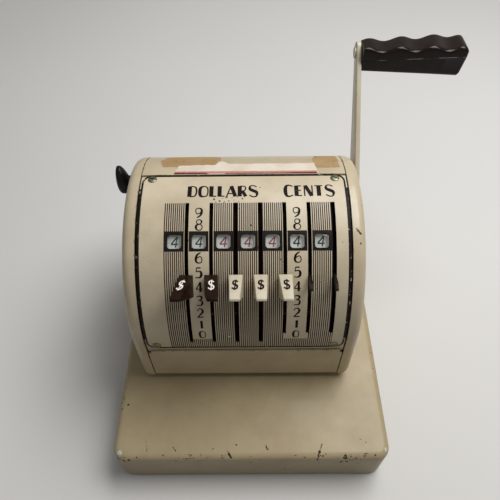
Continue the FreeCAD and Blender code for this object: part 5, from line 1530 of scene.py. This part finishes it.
class CHECKWRITER_OT_handle(bpy.types.Operator):
    """Make the handle's arm and its moulded grip"""
    bl_idname = "checkwriter.handle"
    bl_label = "Handle"

    def execute(self, context):
        low, high = node_box("handle_arm")
        bm = tapered_bar(low.x, high.x, ARM_ROOT, ARM_TIP, ARM_REACH, ARM_EDGE)
        leaning(bm, pivot("handle_pull"), ARM_LEAN)
        write("arm_bar", bm, "handle", "cream_enamel", "Arm_Enamel", "handle_arm", sharp=40)
        write("grip_moulding", grip_mesh(), "handle", "brown_bakelite", "Brown_Bakelite", "handle_grip",
              sharp=30)
        return {"FINISHED"}


KNOB_LEAN = 18.0
# the knob's thickness, its middle's distance from the pivot, half its height, and its neck's start
KNOB_THICK, KNOB_MIDDLE, KNOB_HALF, KNOB_ROOT = 13.0, 53.5, 14.0, 6.0


class CHECKWRITER_OT_side_knob(bpy.types.Operator):
    """Make the side lever's knob"""
    bl_idname = "checkwriter.side_knob"
    bl_label = "Side Knob"

    def execute(self, context):
        low, high = node_box("side_lever_knob")
        bm = bmesh.new()
        bmesh.ops.create_uvsphere(bm, u_segments=40, v_segments=24, radius=1.0)
        for vert in bm.verts:
            across, deep, up = vert.co
            # the outer side is flat and upright, and the inner one slants in towards the tip
            side = math.copysign(abs(across) ** (0.5 if across < 0 else 0.8), across)
            thick = KNOB_THICK * min(1.15, 1.0 - 0.42 * up)
            vert.co = (low.x + thick / 2 * (1 + side), deep * (7.0 + 0.8 * up), KNOB_MIDDLE + up * KNOB_HALF)
        neck = bmesh.new()
        neck_length = high.x - low.x - KNOB_ROOT
        lathe(neck, (low.x + KNOB_ROOT, 0, KNOB_MIDDLE), (1, 0, 0),
              [(0, 0), (0, 4.6), (2.0, 4.0), (neck_length, 4.4), (neck_length, 0)], 28)
        merge(bm, neck)
        leaning(bm, pivot("side_lever_turn"), KNOB_LEAN)
        write("knob_moulding", bm, "side_lever", "brown_bakelite", "Knob_Plastic", "side_lever_knob",
              sharp=45)
        return {"FINISHED"}


# ------------------------------------------------------------------ carried-over nodes, stage

KEPT = {
    "Bordered_Panel": ["front_panel"],
    "Grey_Steel": ["throat_plate", "left_frame", "right_frame", "base_posts", "bottom_plate",
                   "pivot_brackets", "platen_lever"],
    "Bright_Steel": ["detent_comb", "drive_cam", "cam_roller", "drive_shaft", "frame_spacers", "ink_shaft",
                     "platen_pivot", "selector_shaft", "type_shaft", "side_pivot", "side_lever_arm",
                     "handle_cap_nut"],
    "Arm_Enamel": ["grip_screw"],
    "Black_Rubber": ["platen"],
    "Inked_Felt": ["ink_roller"],
    "Type_Brass": ["drive_bushing"] + ["type_wheel_%d" % column for column in COLUMNS],
    "Blackened_Steel": ["selector_segment_%d" % column for column in COLUMNS],
}


class CHECKWRITER_OT_kept_nodes(bpy.types.Operator):
    """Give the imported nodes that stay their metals, rubber and felt"""
    bl_idname = "checkwriter.kept_nodes"
    bl_label = "Kept Nodes"

    def execute(self, context):
        for material, nodes in KEPT.items():
            for node in nodes:
                for slot in frame["nodes"][node].material_slots:
                    slot.material = finish(material)
        return {"FINISHED"}


# each lamp's place, what it is aimed at, its width and depth, all in metres, and its power in watts: one
# wide softbox overhead and a little behind, and a low one in front
LAMPS = {
    "softbox": ((0.5, 0.26, 1.28), (0.0, 0.02, 0.1), 1.0, 0.7, 17.0),
    "front_fill": ((-0.25, -1.5, 0.75), (0.0, 0.0, 0.12), 1.2, 0.8, 0.6),
}
# the room's own light, and how bright the room looks
ROOM_LIGHT = 0.19
ROOM_SEEN = 0.5
FLOOR_HALF = 6.0


def place_in_scene(name, data, matrix):
    holder = bpy.data.objects.new(name, data)
    holder.matrix_world = matrix
    bpy.context.scene.collection.objects.link(holder)
    return holder


class CHECKWRITER_OT_stage(bpy.types.Operator):
    """Set the floor, the lamps, the backdrop light and the camera"""
    bl_idname = "checkwriter.stage"
    bl_label = "Stage"

    def execute(self, context):
        scene = bpy.context.scene
        bm = bmesh.new()
        flat_sheet(bm, FLOOR_HALF, FLOOR_HALF)
        mesh = bpy.data.meshes.new("table_top")
        bm.to_mesh(mesh)
        bm.free()
        mesh.materials.append(finish("Table_Top"))
        place_in_scene("table_top", mesh, Matrix.Identity(4))

        size = sizes()
        turn = (Matrix.Rotation(-size.camera_yaw, 4, "Z")
                @ Matrix.Rotation(math.pi / 2 - size.camera_pitch, 4, "X")
                @ Matrix.Rotation(-size.camera_roll, 4, "Z"))
        place = Matrix.Translation(Vector(size.camera_place) * MM)
        lens = bpy.data.cameras.new("camera")
        lens.lens = 36.0
        lens.sensor_width = 36.0
        lens.clip_start = 0.01
        lens.clip_end = 30.0
        scene.camera = place_in_scene("camera", lens, place @ turn)

        for name, (place, target, width, depth, power) in LAMPS.items():
            lamp = bpy.data.lights.new(name, "AREA")
            lamp.shape = "RECTANGLE"
            lamp.size = width
            lamp.size_y = depth
            lamp.energy = power
            aim = (Vector(target) - Vector(place)).to_track_quat("-Z", "Y").to_matrix().to_4x4()
            place_in_scene(name, lamp, Matrix.Translation(place) @ aim)

        scene.world = bpy.data.worlds.new("room")
        tree, surface = empty_tree(scene.world, "ShaderNodeOutputWorld")
        light = add(tree, "Background", linear("#FFFFFF"), ROOM_LIGHT)
        back = add(tree, "Background", tone("floor"), ROOM_SEEN)
        tree.links.new(add(tree, "MixShader", looked_at(tree), light, back), surface)
        scene.view_settings.view_transform = "Standard"
        return {"FINISHED"}


OPERATORS = (
    CHECKWRITER_OT_stage, CHECKWRITER_OT_covers, CHECKWRITER_OT_apron, CHECKWRITER_OT_base,
    CHECKWRITER_OT_face_plate, CHECKWRITER_OT_windows, CHECKWRITER_OT_face_print, CHECKWRITER_OT_number_bands,
    CHECKWRITER_OT_label, CHECKWRITER_OT_caps, CHECKWRITER_OT_screws, CHECKWRITER_OT_handle,
    CHECKWRITER_OT_side_knob, CHECKWRITER_OT_kept_nodes)


class CHECKWRITER_PT_panel(bpy.types.Panel):
    """Lists the pieces of the check writer"""
    bl_idname = "CHECKWRITER_PT_panel"
    bl_label = "Check Writer"
    bl_space_type = "VIEW_3D"
    bl_region_type = "UI"
    bl_category = "Check Writer"

    def draw(self, context):
        column = self.layout.column()
        for operator in OPERATORS:
            column.operator(operator.bl_idname)
        for group in (context.scene.check_writer_sizes, context.scene.check_writer_colours):
            for name in group.__annotations__:
                column.prop(group, name)


CLASSES = (CheckWriterSizes, CheckWriterColours) + OPERATORS + (CHECKWRITER_PT_panel,)


def register():
    for item in CLASSES:
        bpy.utils.register_class(item)
    bpy.types.Scene.check_writer_sizes = bpy.props.PointerProperty(type=CheckWriterSizes)
    bpy.types.Scene.check_writer_colours = bpy.props.PointerProperty(type=CheckWriterColours)


def unregister():
    del bpy.types.Scene.check_writer_colours
    del bpy.types.Scene.check_writer_sizes
    for item in reversed(CLASSES):
        bpy.utils.unregister_class(item)


def main():
    register()
    for operator in OPERATORS:
        group, name = operator.bl_idname.split(".")
        getattr(getattr(bpy.ops, group), name)()


if __name__ == "__main__":
    main()
